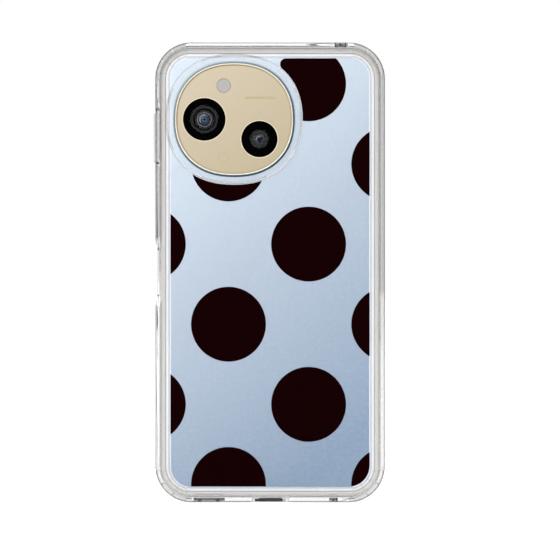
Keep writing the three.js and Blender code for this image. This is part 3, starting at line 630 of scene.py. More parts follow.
def screen_finish():
    """Display glass, switched off: a black printed border and, inside it, the very dark active area."""
    material, nt, bsdf = principled("screen_glass", WHITE, 0.04, specular=0.35)
    position = object_position(nt)
    half_w, half_h, corner = 33.6, 70.8, 6.4
    dx = larger(nt, beyond(nt, position["X"], 0.0, half_w - corner), 0.0)
    dz = larger(nt, beyond(nt, position["Z"], CENTRE_Z, half_h - corner), 0.0)
    squares = plus(nt, times(nt, dx, dx), times(nt, dz, dz))
    outside = more(nt, squares, (corner * MM) ** 2)
    area = mix_colour(nt, spread(nt, noise(nt, 2600.0), 0, 1), srgb(24, 25, 29), srgb(30, 31, 36))
    paint(nt, bsdf, outside, area, srgb(9, 9, 10))
    roughen(nt, bsdf, noise(nt, 40.0, 3.0), 0.03, 0.07)
    return material


def mesh_grille(name, colour, pitch):
    """A woven grille: a fine square lattice of wires over black."""
    material, nt, bsdf = principled(name, colour, 0.35, 0.8)
    wave = nt.nodes.new("ShaderNodeTexVoronoi")
    wave.inputs["Scale"].default_value = 1.0 / pitch
    wave.inputs["Randomness"].default_value = 0.0
    nt.links.new(object_coord(nt), wave.inputs["Vector"])
    open_part = less(nt, wave.outputs["Distance"], 0.33)
    paint(nt, bsdf, open_part, colour, (0.002, 0.002, 0.002, 1))
    return material


def circuit_finish(name, base, trace):
    """A solder-masked board: traces and pads laid out on a square grid under the mask."""
    material, nt, bsdf = principled(name, base, 0.38, 0.0, coat=0.3)
    cells = nt.nodes.new("ShaderNodeTexVoronoi")
    cells.distance = "CHEBYCHEV"
    cells.inputs["Scale"].default_value = 700.0
    nt.links.new(object_coord(nt), cells.inputs["Vector"])
    pads = less(nt, cells.outputs["Distance"], 0.2)
    paint(nt, bsdf, pads, base, trace)
    nt.links.new(times(nt, pads, 0.9), bsdf.inputs["Metallic"])
    add_bump(nt, bsdf, cells.outputs["Distance"], 0.2, 0.00004)
    return material


# ---------------------------------------------------------------- outlines in the XZ plane

def rounded_rectangle(half_w, half_h, corner, steps=CORNER_STEPS):
    points = []
    for quarter in range(4):
        cx = (half_w - corner) * (1 if quarter in (0, 3) else -1)
        cz = (half_h - corner) * (1 if quarter < 2 else -1)
        for i in range(steps + 1):
            a = (quarter + i / steps) * math.pi / 2
            points.append((cx + corner * math.cos(a), cz + corner * math.sin(a)))
    return points


def phone_outline(offset):
    return rounded_rectangle(PHONE.half_w + offset, PHONE.half_h + offset, PHONE.corner + offset)


def cover_outline(inset):
    return rounded_rectangle(COVER.half_w - inset, COVER.half_h - inset, COVER.corner - inset)


def island_point(grow, t):
    def bend(value):
        return math.copysign(abs(value) ** (2 / ISLAND.power), value)
    return Vector((ISLAND.x + (ISLAND.half_w + grow) * bend(math.cos(t)),
                   ISLAND.z + (ISLAND.half_h + grow) * bend(math.sin(t))))


def island_curve(grow):
    steps = 128
    return [tuple(island_point(grow, 2 * math.pi * i / steps)) for i in range(steps)]


def touching_circle(grow, t, r):
    """The circle of radius r that touches the island's grown outline from outside, at parameter t."""
    touch = island_point(grow, t)
    along = (island_point(grow, t + 1e-3) - island_point(grow, t - 1e-3)).normalized()
    return touch, Vector((touch.x + along.y * r, touch.y - along.x * r))


def solve(miss, low, high):
    rising = miss(high) > miss(low)
    for _ in range(50):
        middle = (low + high) / 2
        if (miss(middle) > 0) == rising:
            high = middle
        else:
            low = middle
    return (low + high) / 2


def arc(cx, cz, r, start, end, steps):
    angles = [start + (end - start) * i / steps for i in range(steps + 1)]
    return [(cx + r * math.cos(a), cz + r * math.sin(a)) for a in angles]


def plate_outline(grow):
    """The back plate: a rounded rectangle whose upper left corner gives way to the guard round the island."""
    x, z, r = PLATE.half_w + grow, PLATE.half_h + grow, PLATE.corner + grow
    guard = GUARD.to_plate - grow
    top_r, left_r = GUARD.top_fillet + grow, GUARD.left_fillet + grow
    top_t = solve(lambda t: touching_circle(guard, t, top_r)[1].y - (z - top_r), 0.1, 1.4)
    left_t = solve(lambda t: touching_circle(guard, t, left_r)[1].x - (left_r - x), -1.7, -3.0)
    top_touch, top = touching_circle(guard, top_t, top_r)
    left_touch, left = touching_circle(guard, left_t, left_r)
    top_end = math.atan2(top_touch.y - top.y, top_touch.x - top.x) % (2 * math.pi)
    left_start = math.atan2(left_touch.y - left.y, left_touch.x - left.x)
    curve = [tuple(island_point(guard, top_t + (left_t - top_t) * i / 64)) for i in range(1, 64)]
    return (arc(x - r, r - z, r, -math.pi / 2, 0, 14) + arc(x - r, z - r, r, 0, math.pi / 2, 14)
            + arc(top.x, top.y, top_r, math.pi / 2, top_end, 14) + curve
            + arc(left.x, left.y, left_r, left_start, math.pi, 14)
            + arc(r - x, r - z, r, math.pi, 1.5 * math.pi, 14))


def circle(cx, cz, r, steps=96):
    return [(cx + r * math.cos(2 * math.pi * i / steps), cz + r * math.sin(2 * math.pi * i / steps))
            for i in range(steps)]


def clip(subject, window):
    """The part of the subject polygon inside a convex window; both run anticlockwise."""
    for (ax, az), (bx, bz) in zip(window, window[1:] + window[:1]):
        def side(p):
            return (bx - ax) * (p[1] - az) - (bz - az) * (p[0] - ax)
        kept = []
        for p, q in zip(subject, subject[1:] + subject[:1]):
            sp, sq = side(p), side(q)
            if sp >= 0:
                kept.append(p)
            if (sp > 0 > sq) or (sp < 0 < sq):
                share = sp / (sp - sq)
                kept.append((p[0] + (q[0] - p[0]) * share, p[1] + (q[1] - p[1]) * share))
        subject = kept
    return subject


# ---------------------------------------------------------------- meshes

def place(x, y, z):
    return (x * MM, y * MM, (z + CENTRE_Z) * MM)


def object_of(name, verts, faces):
    mesh = bpy.data.meshes.new(name)
    mesh.from_pydata([place(*v) for v in verts], [], faces)
    shape = bmesh.new()
    shape.from_mesh(mesh)
    bmesh.ops.remove_doubles(shape, verts=shape.verts, dist=1e-7)
    bmesh.ops.recalc_face_normals(shape, faces=shape.faces)
    shape.to_mesh(mesh)
    shape.free()
    made = bpy.data.objects.new(name, mesh)
    bpy.context.scene.collection.objects.link(made)
    return made


def skin(name, rings, hoop=False):
    """Rings of points skinned in order: closed on itself as a hoop, or capped at both ends."""
    count = len(rings[0])
    verts = [point for ring in rings for point in ring]
    faces = []
    for row in range(len(rings) if hoop else len(rings) - 1):
        a, b = row * count, ((row + 1) % len(rings)) * count
        faces += [(a + i, a + (i + 1) % count, b + (i + 1) % count, b + i) for i in range(count)]
    if not hoop:
        faces.append(tuple(range(count)))
        faces.append(tuple(range((len(rings) - 1) * count, len(rings) * count)))
    return object_of(name, verts, faces)


def at_y(outline, y):
    return [(x, y, z) for x, z in outline]


def slab(name, outline, near, far):
    return skin(name, [at_y(outline, near), at_y(outline, far)])


def side_slab(name, outline, left, right):
    """An outline of (y, z) points made solid from x = left to x = right."""
    return skin(name, [[(x, y, z) for y, z in outline] for x in (left, right)])


def upright(name, outline, bottom, top):
    """An outline of (x, y) points made solid from z = bottom to z = top."""
    return skin(name, [[(x, y, z) for x, y in outline] for z in (bottom, top)])


def moved(outline, du, dv):
    return [(u + du, v + dv) for u, v in outline]


def stadium(half_u, half_v, steps=12):
    return rounded_rectangle(half_u, half_v, min(half_u, half_v) * 0.999, steps)


def turned(name, profile, cx, cz, steps=64):
    """A body turned about Y from (radius, y) points; points on the axis close it."""
    rings = [at_y(circle(cx, cz, radius, steps), y) for radius, y in profile]
    hoop = profile[0][0] > 0
    return skin(name, rings, hoop)


def quarter(x0, y0, x1, y1, steps, steep):
    """Points of a quarter ellipse from (x0, y0) to (x1, y1), leaving along y if steep, else along x."""
    points = []
    for i in range(steps + 1):
        a = i / steps * math.pi / 2
        slow, fast = 1 - math.cos(a), math.sin(a)
        across, along = (slow, fast) if steep else (fast, slow)
        points.append((x0 + (x1 - x0) * across, y0 + (y1 - y0) * along))
    return points


def settle(obj):
    """Applies the modifiers of an object to its mesh."""
    bpy.context.view_layer.update()
    graph = bpy.context.evaluated_depsgraph_get()
    mesh = bpy.data.meshes.new_from_object(obj.evaluated_get(graph))
    obj.modifiers.clear()
    obj.data = mesh


def carve(obj, tools, operation="DIFFERENCE"):
    for tool in tools:
        change = obj.modifiers.new("change", "BOOLEAN")
        change.operation = operation
        change.solver = "EXACT"
        change.object = tool
        settle(obj)
        bpy.data.objects.remove(tool)
    shape = bmesh.new()
    shape.from_mesh(obj.data)
    bmesh.ops.remove_doubles(shape, verts=shape.verts, dist=2e-6)
    bmesh.ops.dissolve_degenerate(shape, edges=shape.edges, dist=1e-6)
    shape.to_mesh(obj.data)
    shape.free()
    return obj


def dress(obj, material, body, slot, *nodes, sharp=32.0):
    """Gives a piece its finish, smooth shading and body, and hides the CAD nodes that it stands for; the slot
    is not used.
    """
    obj.data.materials.clear()
    obj.data.materials.append(material)
    for face in obj.data.polygons:
        face.use_smooth = True
        face.material_index = 0
    obj.data.set_sharp_from_angle(angle=math.radians(sharp))
    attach(obj, body)
    if nodes:
        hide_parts(*nodes)
    return obj


# ---------------------------------------------------------------- the cover

def corner_cells():
    """The air cells behind the four corners: each pocket is split by ribs into three."""
    cells = []
    for side in (1, -1):
        for end in (1, -1):
            cx = side * (PHONE.half_w - PHONE.corner)
            cz = end * (PHONE.half_h - PHONE.corner)
            middle = math.atan2(end, side)
            for part in (-1, 0, 1):
                start = middle + part * CELL.pitch - CELL.half
                outer = arc(cx, cz, PHONE.corner + 1.0, start, start + 2 * CELL.half, 8)
                inner = arc(cx, cz, PHONE.corner - 0.3, start + 2 * CELL.half, start, 8)
                cells.append(slab("cell", outer + inner, -1.4, 4.3))
    return cells


def corner_slots():
    """The short slots in the bumper's back beside the plate's corners, and the pin holes at their ends."""
    slots = []
    for side, end in ((1, 1), (1, -1), (-1, -1)):
        cx = side * (PLATE.half_w - PLATE.corner)
        cz = end * (PLATE.half_h - PLATE.corner)
        middle = math.atan2(end, side)
        radius = PLATE.corner + 0.62
        for step in (-0.42, -0.14, 0.14, 0.42):
            start, stop = middle + step - 0.085, middle + step + 0.085
            outline = arc(cx, cz, radius + 0.15, start, stop, 5) + arc(cx, cz, radius - 0.15, stop, start, 5)
            slots.append(slab("slot", outline, COVER.back - 1, COVER.back + 0.35))
        for turn in (-0.76, 0.76):
            x, z = cx + radius * math.cos(middle + turn), cz + radius * math.sin(middle + turn)
            slots.append(slab("pin_hole", circle(x, z, 0.28, 16), COVER.back - 1, COVER.back + 0.45))
    return slots


def bumper():
    fit = 0.2
    section = [at_y(cover_outline(s), y) for s, y in quarter(2.8, COVER.back, 0, -2.2, 12, False)]
    section += [at_y(cover_outline(s), y) for s, y in quarter(0, 4.9, 1.0, COVER.lip, 6, True)]
    section += [at_y(phone_outline(fit + 0.15), COVER.lip), at_y(phone_outline(fit), COVER.lip - 0.3)]
    section += [at_y(phone_outline(o), y) for o, y in quarter(fit, -2.0, -1.45, PLATE.inner, 6, True)]
    made = skin("bumper", section)

    inner, outer, foot = GUARD.inner, GUARD.outer, PLATE.inner - 0.02
    crest = [(inner, foot)] + quarter(inner, GUARD.top + 0.4, inner + 0.4, GUARD.top, 5, True)
    crest += quarter(outer - 0.95, GUARD.top, outer - 0.2, GUARD.top + 0.75, 6, False)
    crest += [(outer, COVER.back - 0.02), (outer - 1, foot)]
    rim = skin("guard_rim", [at_y(island_curve(grow), y) for grow, y in crest], True)
    carve(made, [slab("hole", island_curve(inner + 0.4), COVER.back - 3, PLATE.inner + 1)])
    carve(made, [rim], "UNION")

    seam = 0.1
    face = -COVER.half_w
    below, above = (-COVER.half_h - 1, -PHONE.half_h + 2), (PHONE.half_h - 2, COVER.half_h + 1)
    scoop = [(face - 1, -POWER.end - 1.2), (face, -POWER.end)]
    scoop += [(face + POWER.depth * share, -POWER.end + (POWER.end - POWER.flat) * ease)
              for share, ease in ((0.1, 0.25), (0.5, 0.55), (0.9, 0.85), (1.0, 1.0))]
    scoop += [(x, -z) for x, z in reversed(scoop)]
    pad_window = rounded_rectangle(2.65, VOLUME.pad + VOLUME.gap, 1.6)
    dip = [(-7.2, -77.5), (-7.2, -76.52), (-6.7, -76.42), (-6.2, -76.18)]
    dip += [(-x, z) for x, z in reversed(dip)]
    tools = [
        slab("seat", plate_outline(seam), COVER.back - 2, PLATE.step - 0.05),
        slab("seat", plate_outline(PLATE.flange + seam), PLATE.step - 0.06, PLATE.inner + 0.1),
        slab("scoop", scoop, COVER.back - 2, COVER.lip + 1),
        side_slab("power", moved(rounded_rectangle(2.7, POWER.flat, 1.3), KEY_Y, 0), face - 1, face + 4),
        side_slab("volume", moved(pad_window, KEY_Y, VOLUME.z), face - 1, face + 3),
        slab("channel", rounded_rectangle(0.75, VOLUME.half + 0.6, 0.2, 3), KEY_Y, COVER.lip + 1),
        upright("charge", moved(stadium(WINDOW.port, 3.2), PORT.x, KEY_Y), *below),
        upright("speaker", moved(stadium(WINDOW.speaker, 1.7), SPEAKER_X, KEY_Y), *below),
        upright("mic", moved(stadium(WINDOW.lower_mic, 1.3), LOWER_MIC_X, KEY_Y), *below),
        upright("mic", moved(stadium(WINDOW.upper_mic, 1.3), UPPER_MIC_X, KEY_Y), *above),
        slab("dip", moved(dip, PORT.x, 0), COVER.back - 2, COVER.lip + 1),
    ]
    tools[5].location = (-36.25 * MM, 0, VOLUME.z * MM)
    carve(made, tools + corner_cells() + corner_slots())
    return made


def back_plate():
    """The hard plate with its rounded outer edge, and the flange that the bumper is moulded over."""
    section = [at_y(plate_outline(PLATE.flange), PLATE.inner), at_y(plate_outline(PLATE.flange), PLATE.step),
               at_y(plate_outline(0), PLATE.step), at_y(plate_outline(0), PLATE.outer + 0.15)]
    edge = quarter(0, PLATE.outer + 0.15, -0.15, PLATE.outer, 3, True)[1:]
    section += [at_y(plate_outline(grow), y) for grow, y in edge]
    return skin("back_plate", section)


def dot_centres():
    centres = []
    for column in range(-2, 2):
        for row in range(1 if column == -2 else 0, 3):
            drop = 2 * row * DOT.pitch + (DOT.pitch if column % 2 else 0)
            centres.append((DOT.x + column * DOT.pitch, DOT.z - drop))
    return centres


def build_cover():
    soft = clear_plastic("soft_clear", (0.80, 0.84, 0.88, 1), 0.015, 1.48, 20.0, 0.02)[0]
    hard = pane("hard_clear", 0.04, 0.017)
    ink = ink_finish()
    dress(bumper(), painted_shade_bumper_finish(), "cover", "soft_clear", "cover_bumper")
    dress(back_plate(), hard, "cover", "hard_clear", "cover_back_plate")
    outline = plate_outline(-0.02)
    for i, (x, z) in enumerate(dot_centres()):
        shape = clip(outline, circle(x, z, DOT.radius, 180))
        top = PLATE.outer - DOT.thick
        dot = slab(f"printed_dot_{i + 1}", shape, top, PLATE.outer - 0.005)
        dress(dot, ink, "cover", "dot_ink", f"ink_dot_{i + 1}")
        dot.visible_shadow = dot.visible_diffuse = False
    pad_out = -VOLUME.out
    inner = -PHONE.half_w - 0.45
    rings = []
    for grow, x in [(0.0, inner)] + quarter(0.0, pad_out + 0.55, -0.55, pad_out, 6, True):
        shape = rounded_rectangle(2.3 + grow, VOLUME.pad + grow, 1.4 + grow)
        rings.append([(x, y + KEY_Y, z + VOLUME.z) for y, z in shape])
    dress(skin("volume_pad", rings), soft, "volume_pad", "soft_clear", "cover_volume_pad")


# ---------------------------------------------------------------- the phone

def phone_band():
    back, front = PHONE.back, PHONE.front
    section = quarter(-1.45, back, 0, back + 1.45, 10, False) + quarter(0, 4.35, -0.75, front - 0.35, 6, True)
    section += [(-0.95, front - 0.35), (-0.95, front - 0.7), (-WALL, front - 0.7), (-WALL, back + 1.0),
                (-1.75, back + 1.0), (-1.75, back)]
    made = skin("phone_band", [at_y(phone_outline(o), y) for o, y in section], True)
    side = (-PHONE.half_w - 1, -PHONE.half_w + WALL + 0.5)
    bottom = (-PHONE.half_h - 1, -PHONE.half_h + WALL + 0.5)
    top = (PHONE.half_h - WALL - 0.5, PHONE.half_h + 1)
    slit = rounded_rectangle(6, 0.35, 0.1, 3)
    tools = [
        side_slab("key", moved(stadium(1.5, POWER.half + 0.2), KEY_Y, 0), *side),
        side_slab("key", moved(stadium(1.2, VOLUME.half + 0.3), KEY_Y, VOLUME.z), *side),
        side_slab("tray", moved(stadium(1.25, 7.7), 1.1, 57.3), PHONE.half_w - WALL - 0.5, PHONE.half_w + 1),
        upright("port", moved(stadium(PORT.half_w + 0.15, PORT.half_t + 0.15), PORT.x, KEY_Y), *bottom),
        upright("mic", moved(stadium(0.5, 0.5), LOWER_MIC_X, KEY_Y), *bottom),
        upright("mic", moved(stadium(0.5, 0.5), UPPER_MIC_X, KEY_Y), *top),
        slab("slit", moved(slit, 0, PHONE.half_h - 0.85), front - 1, front + 0.05),
    ]
    tools += [upright("speaker", moved(stadium(0.7, 0.55), SPEAKER_X + step, KEY_Y), *bottom)
              for step in (-3, -1, 1, 3)]
    carve(made, tools[7:] + tools[:7])  # the speaker's holes first
    plate = slab("mid_plate", phone_outline(-WALL + 0.3), 3.4, 3.9)
    carve(made, [plate], "UNION")
    return made


def antenna_bands(finish):
    """The plastic inlays that cross the frame near its corners, flush to a hair."""
    proud = 0.015
    places = [(1, 61.5), (1, -61.5), (-1, 61.5), (-1, -61.5)]
    made = []
    for i, (side, z) in enumerate(places):
        x = side * PHONE.half_w
        outline = [(x + side * proud, PHONE.back + 1.45), (x + side * proud, 4.35)]
        outline += [(x - side * 0.05, 4.35), (x - side * 0.05, PHONE.back + 1.45)]
        bar = skin(f"antenna_line_{i + 1}", [[(u, v, z + half) for u, v in outline] for half in (-0.5, 0.5)])
        made.append(dress(bar, finish, "phone", "frame_metal"))
    return made


def island_ring():
    foot, crest = PHONE.back - 0.05, ISLAND.top - 0.15
    trim = -ISLAND.trim
    section = [(trim, foot), (trim, crest + 0.12)]
    section += quarter(trim, crest + 0.12, trim + 0.12, crest, 3, True)[1:]
    section += quarter(-0.28, crest, 0, crest + 0.32, 5, False) + [(0, foot)]
    return skin("island_ring", [at_y(island_curve(grow), y) for grow, y in section], True)


def island_disc():
    foot = PHONE.back - 0.05
    edge = -ISLAND.trim - 0.1
    section = [(edge, foot), (edge, ISLAND.top + 0.1), (edge - 0.1, ISLAND.top)]
    made = skin("island_disc", [at_y(island_curve(grow), y) for grow, y in section])
    tools = [turned("hole", [(0, -8), (c.bezel + 0.1, -8), (c.bezel + 0.1, 0), (0, 0)], c.x, c.z, 96)
             for c in (WIDE, ULTRA)]
    tools.append(turned("hole", [(0, -8), (LAMP.radius + 0.08, -8), (LAMP.radius + 0.08, 0), (0, 0)],
                        LAMP.x, LAMP.z))
    carve(made, tools)
    return made


def flat_ring(name, outer, inner, proud):
    """A thin flat ring between two outlines, lying on the island's plate."""
    top, foot = ISLAND.top - proud, ISLAND.top + 0.05
    return skin(name, [at_y(outer, foot), at_y(outer, top), at_y(inner, top), at_y(inner, foot)], True)


def build_island():
    gold = gold_finish()
    trim = grained("pale_gold", srgb(252, 245, 228), 0.16, 0.85, 2600.0, 0.04, 0.04)
    dress(island_disc(), gold, "phone", "gold_plate", "island_plate")
    dress(island_ring(), trim, "phone", "gold_trim", "island_trim")
    # A flat ring of painted shade where the plate's edge would be chamfered.
    rim_line = flat_ring("island_painted_chamfer_shade", island_curve(-0.46), island_curve(-0.92), 0.01)
    dress(rim_line, painted_chamfer_shade_finish(), "phone", "gold_plate")
    # A thin dark ring of painted shade in the gap between the island and the guard.
    foot, top = PHONE.back + 0.02, PHONE.back - 0.06
    rings = [at_y(island_curve(0.06), foot), at_y(island_curve(0.06), top), at_y(island_curve(0.6), top),
             at_y(island_curve(0.6), foot)]
    dress(skin("island_gap_shade", rings, True), gap_shade_finish(), "phone", "dark_grey")
    # Pale flat rings round the lens holes: painted highlight in place of lit chamfers.
    chamfer_highlight = grained("painted_chamfer_highlight", srgb(232, 220, 192), 0.3, 0.3, 2600.0, 0.05, 0.05)
    for label, spec in (("wide", WIDE), ("ultrawide", ULTRA)):
        outer, inner = (circle(spec.x, spec.z, spec.bezel + grow) for grow in (0.34, 0.11))
        dress(flat_ring(f"{label}_chamfer", outer, inner, 0.02), chamfer_highlight, "phone", "gold_trim")
    print_ink = grained("mark_ink", srgb(172, 161, 128), 0.5, 0.0, 2600.0, 0.06, 0.05, specular=0.2)
    pill = moved(rounded_rectangle(5.2, 0.42, 0.41, 8), -3.3, 57.95)
    dress(slab("mark_pill", pill, ISLAND.top + 0.05, ISLAND.top - 0.012), print_ink, "phone", "gold_plate")
    mark = flat_ring("mark_ring", circle(-15.5, 38.1, 1.75, 48), circle(-15.5, 38.1, 1.5, 48), 0.012)
    dress(mark, print_ink, "phone", "gold_plate")


def camera(label, spec, front_rings, body, black, grey, window, coating):
    foot, crest = PHONE.back - 0.1, ISLAND.top - 0.25
    wall, lip, under = spec.glass + 0.05, spec.glass - 0.3, crest + 0.12
    bezel = turned(f"{label}_bezel", [(wall, foot), (spec.bezel, foot), (spec.bezel, crest + 0.15),
                                      (spec.bezel - 0.05, crest + 0.04), (spec.bezel - 0.15, crest),
                                      (lip + 0.06, crest), (lip, crest + 0.06), (lip, under), (wall, under)],
                   spec.x, spec.z, 96)
    dress(bezel, black, "phone", "black_gloss", f"{label}_lens_bezel")
    near = under + 0.03
    glass = turned(f"{label}_window", [(0, near), (spec.glass - 0.08, near), (spec.glass, near + 0.08),
                                       (spec.glass, near + 0.4), (0, near + 0.4)], spec.x, spec.z, 96)
    dress(glass, window, "phone", "camera_glass", f"{label}_cover_glass")
    barrel = turned(f"{label}_barrel", front_rings, spec.x, spec.z, 96)
    dress(barrel, grey, body, "dark_grey", f"{label}_lens_barrel", sharp=20)
    seat = -3.05 if spec is WIDE else -3.15
    bulge = 0.5 if spec is WIDE else 0.4
    profile = [(0, seat), (spec.lens, seat), (spec.lens, seat - 0.3)]
    profile += quarter(spec.lens, seat - 0.3, 0, seat - 0.3 - bulge, 12, True)[1:]
    lens = turned(f"{label}_lens", profile, spec.x, spec.z, 64)
    dress(lens, coating, body, "lens_glass", f"{label}_front_lens", sharp=50)


def build_phone():
    metal = grained("frame_satin", srgb(214, 213, 211), 0.34, 0.6, 3000.0, 0.04, 0.05)
    blue_key = grained("key_satin", srgb(200, 212, 228), 0.34, 0.8, 3000.0, 0.06, 0.06)
    black = grained("black_gloss", (0.0006, 0.0006, 0.0007, 1), 0.16, 0.0, 2500.0, 0.4, 0.02, specular=0.004)
    line = grained("antenna_plastic", srgb(190, 203, 219), 0.45, 0.0, 2200.0, 0.06, 0.1)
    dress(phone_band(), metal, "phone", "frame_metal", "phone_frame")
    antenna_bands(line)

    back = PHONE.back
    shell = skin("back_glass", [at_y(phone_outline(-SHELL_INSET), back + 0.9),
                                at_y(phone_outline(-SHELL_INSET), back + 0.08),
                                at_y(phone_outline(-SHELL_INSET - 0.08), back)])
    dress(shell, blue_finish(), "phone", "blue_back", "back_shell")
    build_island()

    window = pane("camera_window", 0.02, 0.003)
    wide_front = [(2.35, -3.0), (2.35, -4.0), (3.1, -4.3), (3.2, -4.35), (3.25, -4.05), (3.8, -4.05),
                  (3.85, -4.45), (3.95, -4.5), (4.5, -4.5), (4.6, -4.4), (4.6, 0.8), (1.5, 0.8), (1.5, -3.0)]
    ultra_front = [(1.6, -3.1), (1.6, -4.05), (2.9, -4.5), (3.05, -4.5), (3.13, -4.4), (3.13, 0.6),
                   (0.95, 0.6), (0.95, -3.1)]
    wide_rings = ledge_rings((0.0, 2.95), (3.9, 4.45))
    ultra_rings = ledge_rings((0.0, 2.95))
    wide_reflection_stops = painted_reflection_rings(WIDE.lens, 0.3, (TEAL, INDIGO, PLUM))
    ultra_reflection_stops = painted_reflection_rings(ULTRA.lens, 0.6, (SLATE, STEEL_BLUE))
    for label, spec, front_rings, ledges, tints, reach in (
            ("wide", WIDE, wide_front, wide_rings, wide_reflection_stops, 1.7),
            ("ultrawide", ULTRA, ultra_front, ultra_rings, ultra_reflection_stops, 1.15)):
        barrel = barrel_finish(f"{label}_barrel_black", spec, ledges)
        coating = painted_reflection_lens_finish(f"{label}_coating", spec, tints, reach)
        camera(label, spec, front_rings, f"{label}_lens", black, barrel, window, coating)

    crest = ISLAND.top - 0.05
    lamp = turned("lamp_diffuser", [(0, PHONE.back - 0.3), (LAMP.radius, PHONE.back - 0.3),
                                    (LAMP.radius, crest + 0.1), (LAMP.radius - 0.1, crest), (0, crest)],
                  LAMP.x, LAMP.z, 64)
    dress(lamp, lamp_finish(), "phone", "lamp_lens", "flash_lens")

    front = PHONE.front
    rings = [at_y(phone_outline(-1.05), front - 0.6), at_y(phone_outline(-1.05), front - 0.35)]
    rings += [at_y(phone_outline(o), y) for o, y in quarter(-1.05, front - 0.35, -1.6, front, 6, True)[1:]]
    dress(skin("screen", rings), screen_finish(), "phone", "screen_glass", "display_glass")

    for label, half, cap, outside, flange, z, finish, slot_name in (
            ("power_key", POWER.half, 1.3, PHONE.half_w, 0.05, 0.0, metal, "frame_metal"),
            ("volume_key", VOLUME.half, 1.0, PHONE.half_w + 0.3, 0.35, VOLUME.z, blue_key, "blue_metal")):
        inside = -PHONE.half_w + WALL + flange
        rings = []
        side = quarter(-0.2, -outside, 0, -outside + 0.2, 4, False)
        for grow, x in side + [(0, inside), (0.7, inside), (0.7, inside + 0.4)]:
            shape = stadium(cap + min(grow, 0.12), half + grow, 14)
            rings.append([(x, y + KEY_Y, w + z) for y, w in shape])
        dress(skin(f"{label}_cap", rings), finish, label, slot_name, label)


def from_axis(nt, cx, cz):
    """The distance in millimetres from the line along Y through (cx, cz)."""
    mapping = nt.nodes.new("ShaderNodeMapping")
    mapping.inputs["Scale"].default_value = (1 / MM, 0, 1 / MM)
    mapping.inputs["Location"].default_value = (-cx, 0, -cz - CENTRE_Z)
    size = nt.nodes.new("ShaderNodeVectorMath")
    size.operation = "LENGTH"
    nt.links.new(object_coord(nt), mapping.inputs["Vector"])
    nt.links.new(mapping.outputs["Vector"], size.inputs[0])
    return size.outputs["Value"]


LEDGE, GROOVE = (42, 42, 42), (3, 3, 3)
PUPIL, DARK_GLASS = (3, 4, 8), (18, 22, 34)
# Colours of the lens coatings' painted reflections.
TEAL, INDIGO, PLUM = (65, 100, 115), (45, 50, 80), (40, 32, 48)
SLATE, STEEL_BLUE = (30, 34, 44), (52, 62, 75)


def ledge_rings(*ledges):
    """Grey ledges between black grooves, each ledge from one radius to another."""
    fade = 0.15
    stops = []
    for start, end in ledges:
        stops += [(start - fade, GROOVE), (start, LEDGE), (end, LEDGE), (end + fade, GROOVE)]
    return [(at, tone) for at, tone in stops if at >= 0]


def painted_reflection_rings(lens, pupil, tints):
    """A black pupil, then the coating's painted reflections at even steps out to the lens's rim, dark between
    them.
    """
    step = (lens - pupil) / len(tints)
    stops = [(0.0, PUPIL), (pupil, PUPIL)]
    for i, tint in enumerate(tints):
        stops += [(pupil + (i + 0.5) * step, tint), (pupil + (i + 1) * step, DARK_GLASS)]
    return stops


def barrel_finish(name, spec, rings):
    """The matt steps round a lens: grey rings on black, with a fine turned grain."""
    material, nt, bsdf = principled(name, (0, 0, 0, 1), 0.6, specular=0.05)
    colour = lines(nt, from_axis(nt, spec.x, spec.z), 5.0, rings)
    grain = noise(nt, 2400.0)
    paint(nt, bsdf, spread(nt, grain, 0.0, 0.08), colour, (0, 0, 0, 1))
    add_bump(nt, bsdf, grain, 0.05, 0.00002)
    return material


def painted_reflection_lens_finish(name, spec, rings, reach):
    """Coated glass with painted reflections: the coating's coloured rings round a black pupil, and a pale
    painted glint, a crescent towards the upper left.
    """
    material, nt, bsdf = principled(name, (0, 0, 0, 1), 0.05, specular=0.08)
    colour = lines(nt, from_axis(nt, spec.x, spec.z), 2.5, rings)
    # The crescent is a painted glint.
    inside = less(nt, from_axis(nt, spec.x - 0.12, spec.z + 0.12), reach)
    beyond = more(nt, from_axis(nt, spec.x + 0.3 * reach, spec.z - 0.3 * reach), reach)
    cloud = spread(nt, noise(nt, 1300.0, 3.0), 0.25, 1.0)
    crescent = times(nt, times(nt, inside, beyond), cloud)
    paint(nt, bsdf, crescent, colour, srgb(128, 127, 142))
    return material


def lamp_finish():
    """Milky diffuser with fine moulded rings."""
    material, nt, bsdf = principled("lamp_milky", WHITE, 0.45, specular=0.2)
    paint(nt, bsdf, spread(nt, noise(nt, 2500.0), 0, 1), srgb(158, 154, 152), srgb(168, 165, 163))
    add_bump(nt, bsdf, noise(nt, 1800.0), 0.2, 0.00003)
    return material


# ---------------------------------------------------------------- the CAD nodes that stay

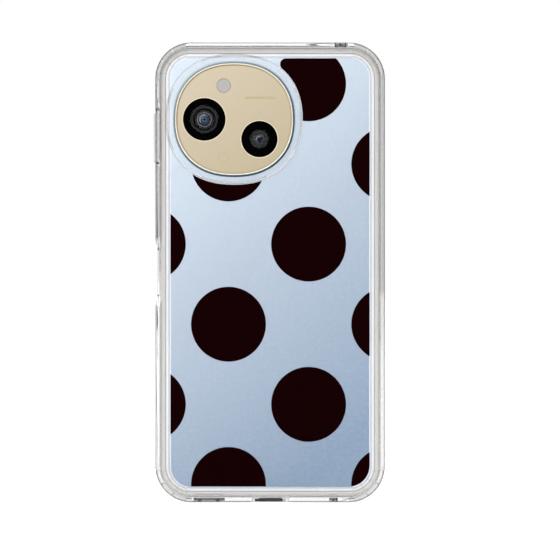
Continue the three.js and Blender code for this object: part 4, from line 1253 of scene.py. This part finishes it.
def dress_nodes():
    finishes = {
        "frame_metal": grained("tray_metal", srgb(205, 208, 212), 0.3, 0.9, 2600.0, 0.05, 0.08),
        "screen_panel": grained("display_stack", (0.01, 0.012, 0.016, 1), 0.35, 0.0, 900.0, 0.2, 0.1),
        "black_gloss": grained("module_black", (0.012, 0.012, 0.013, 1), 0.3, 0.0, 1500.0, 0.3, 0.1),
        "dark_grey": grained("module_grey", (0.05, 0.05, 0.055, 1), 0.45, 0.0, 1800.0, 0.2, 0.15),
        "flex_circuit": circuit_finish("flex_amber", (0.42, 0.20, 0.04, 1), (0.62, 0.34, 0.10, 1)),
        "circuit_board": circuit_finish("board_green", (0.008, 0.05, 0.028, 1), (0.62, 0.50, 0.22, 1)),
        "steel": grained("stamped_steel", srgb(186, 189, 192), 0.26, 1.0, 1200.0, 0.08, 0.12),
        "battery_foil": grained("pouch_foil", (0.035, 0.038, 0.045, 1), 0.4, 0.3, 500.0, 0.2, 0.3),
        "coil_copper": winding_finish(),
        "graphite": grained("graphite_film", (0.03, 0.031, 0.034, 1), 0.55, 0.2, 1600.0, 0.2, 0.3),
    }
    slots = {part["node"]: part["material_slot"] for part in frame["record"]["subparts"]}
    for name, node in frame["nodes"].items():
        if node.hide_render:
            continue
        node.data.materials.clear()
        node.data.materials.append(finishes[slots[name]])
    grille = frame["nodes"]["earpiece_mesh"]
    grille.data.materials.clear()
    grille.data.materials.append(mesh_grille("earpiece_weave", (0.09, 0.09, 0.095, 1), 0.00016))


def winding_finish():
    """Copper turns lying side by side on their film."""
    material, nt, bsdf = principled("copper_turns", WHITE, 0.3, 0.9)
    bands = nt.nodes.new("ShaderNodeTexWave")
    bands.wave_type = "RINGS"
    bands.rings_direction = "Y"
    bands.inputs["Scale"].default_value = 900.0
    mapping = nt.nodes.new("ShaderNodeMapping")
    mapping.inputs["Location"].default_value = (9.0 * MM, 0, -(12 + CENTRE_Z) * MM)
    nt.links.new(object_coord(nt), mapping.inputs["Vector"])
    nt.links.new(mapping.outputs["Vector"], bands.inputs["Vector"])
    paint(nt, bsdf, bands.outputs["Fac"], (0.35, 0.13, 0.05, 1), (0.78, 0.38, 0.18, 1))
    add_bump(nt, bsdf, bands.outputs["Fac"], 0.4, 0.00003)
    return material


# ---------------------------------------------------------------- the scene

bpy.context.scene.view_settings.view_transform = "Standard"
make_camera()
make_world()
make_floor()
area_light("key", (-0.9, -2.8, 1.8), (0, 0, 0.08), (1.6, 1.6), 18.0)
area_light("fill", (0.9, -2.8, 0.9), (0, 0, 0.07), (1.6, 1.6), 9.5)
area_light("top", (0.0, 0.2, 2.4), (0, 0, 0.07), (1.6, 1.6), 8.0)
area_light("rear", (0.4, 2.2, 1.1), (0, 0, 0.07), (1.6, 1.2), 8.0)
build_cover()
build_phone()
dress_nodes()
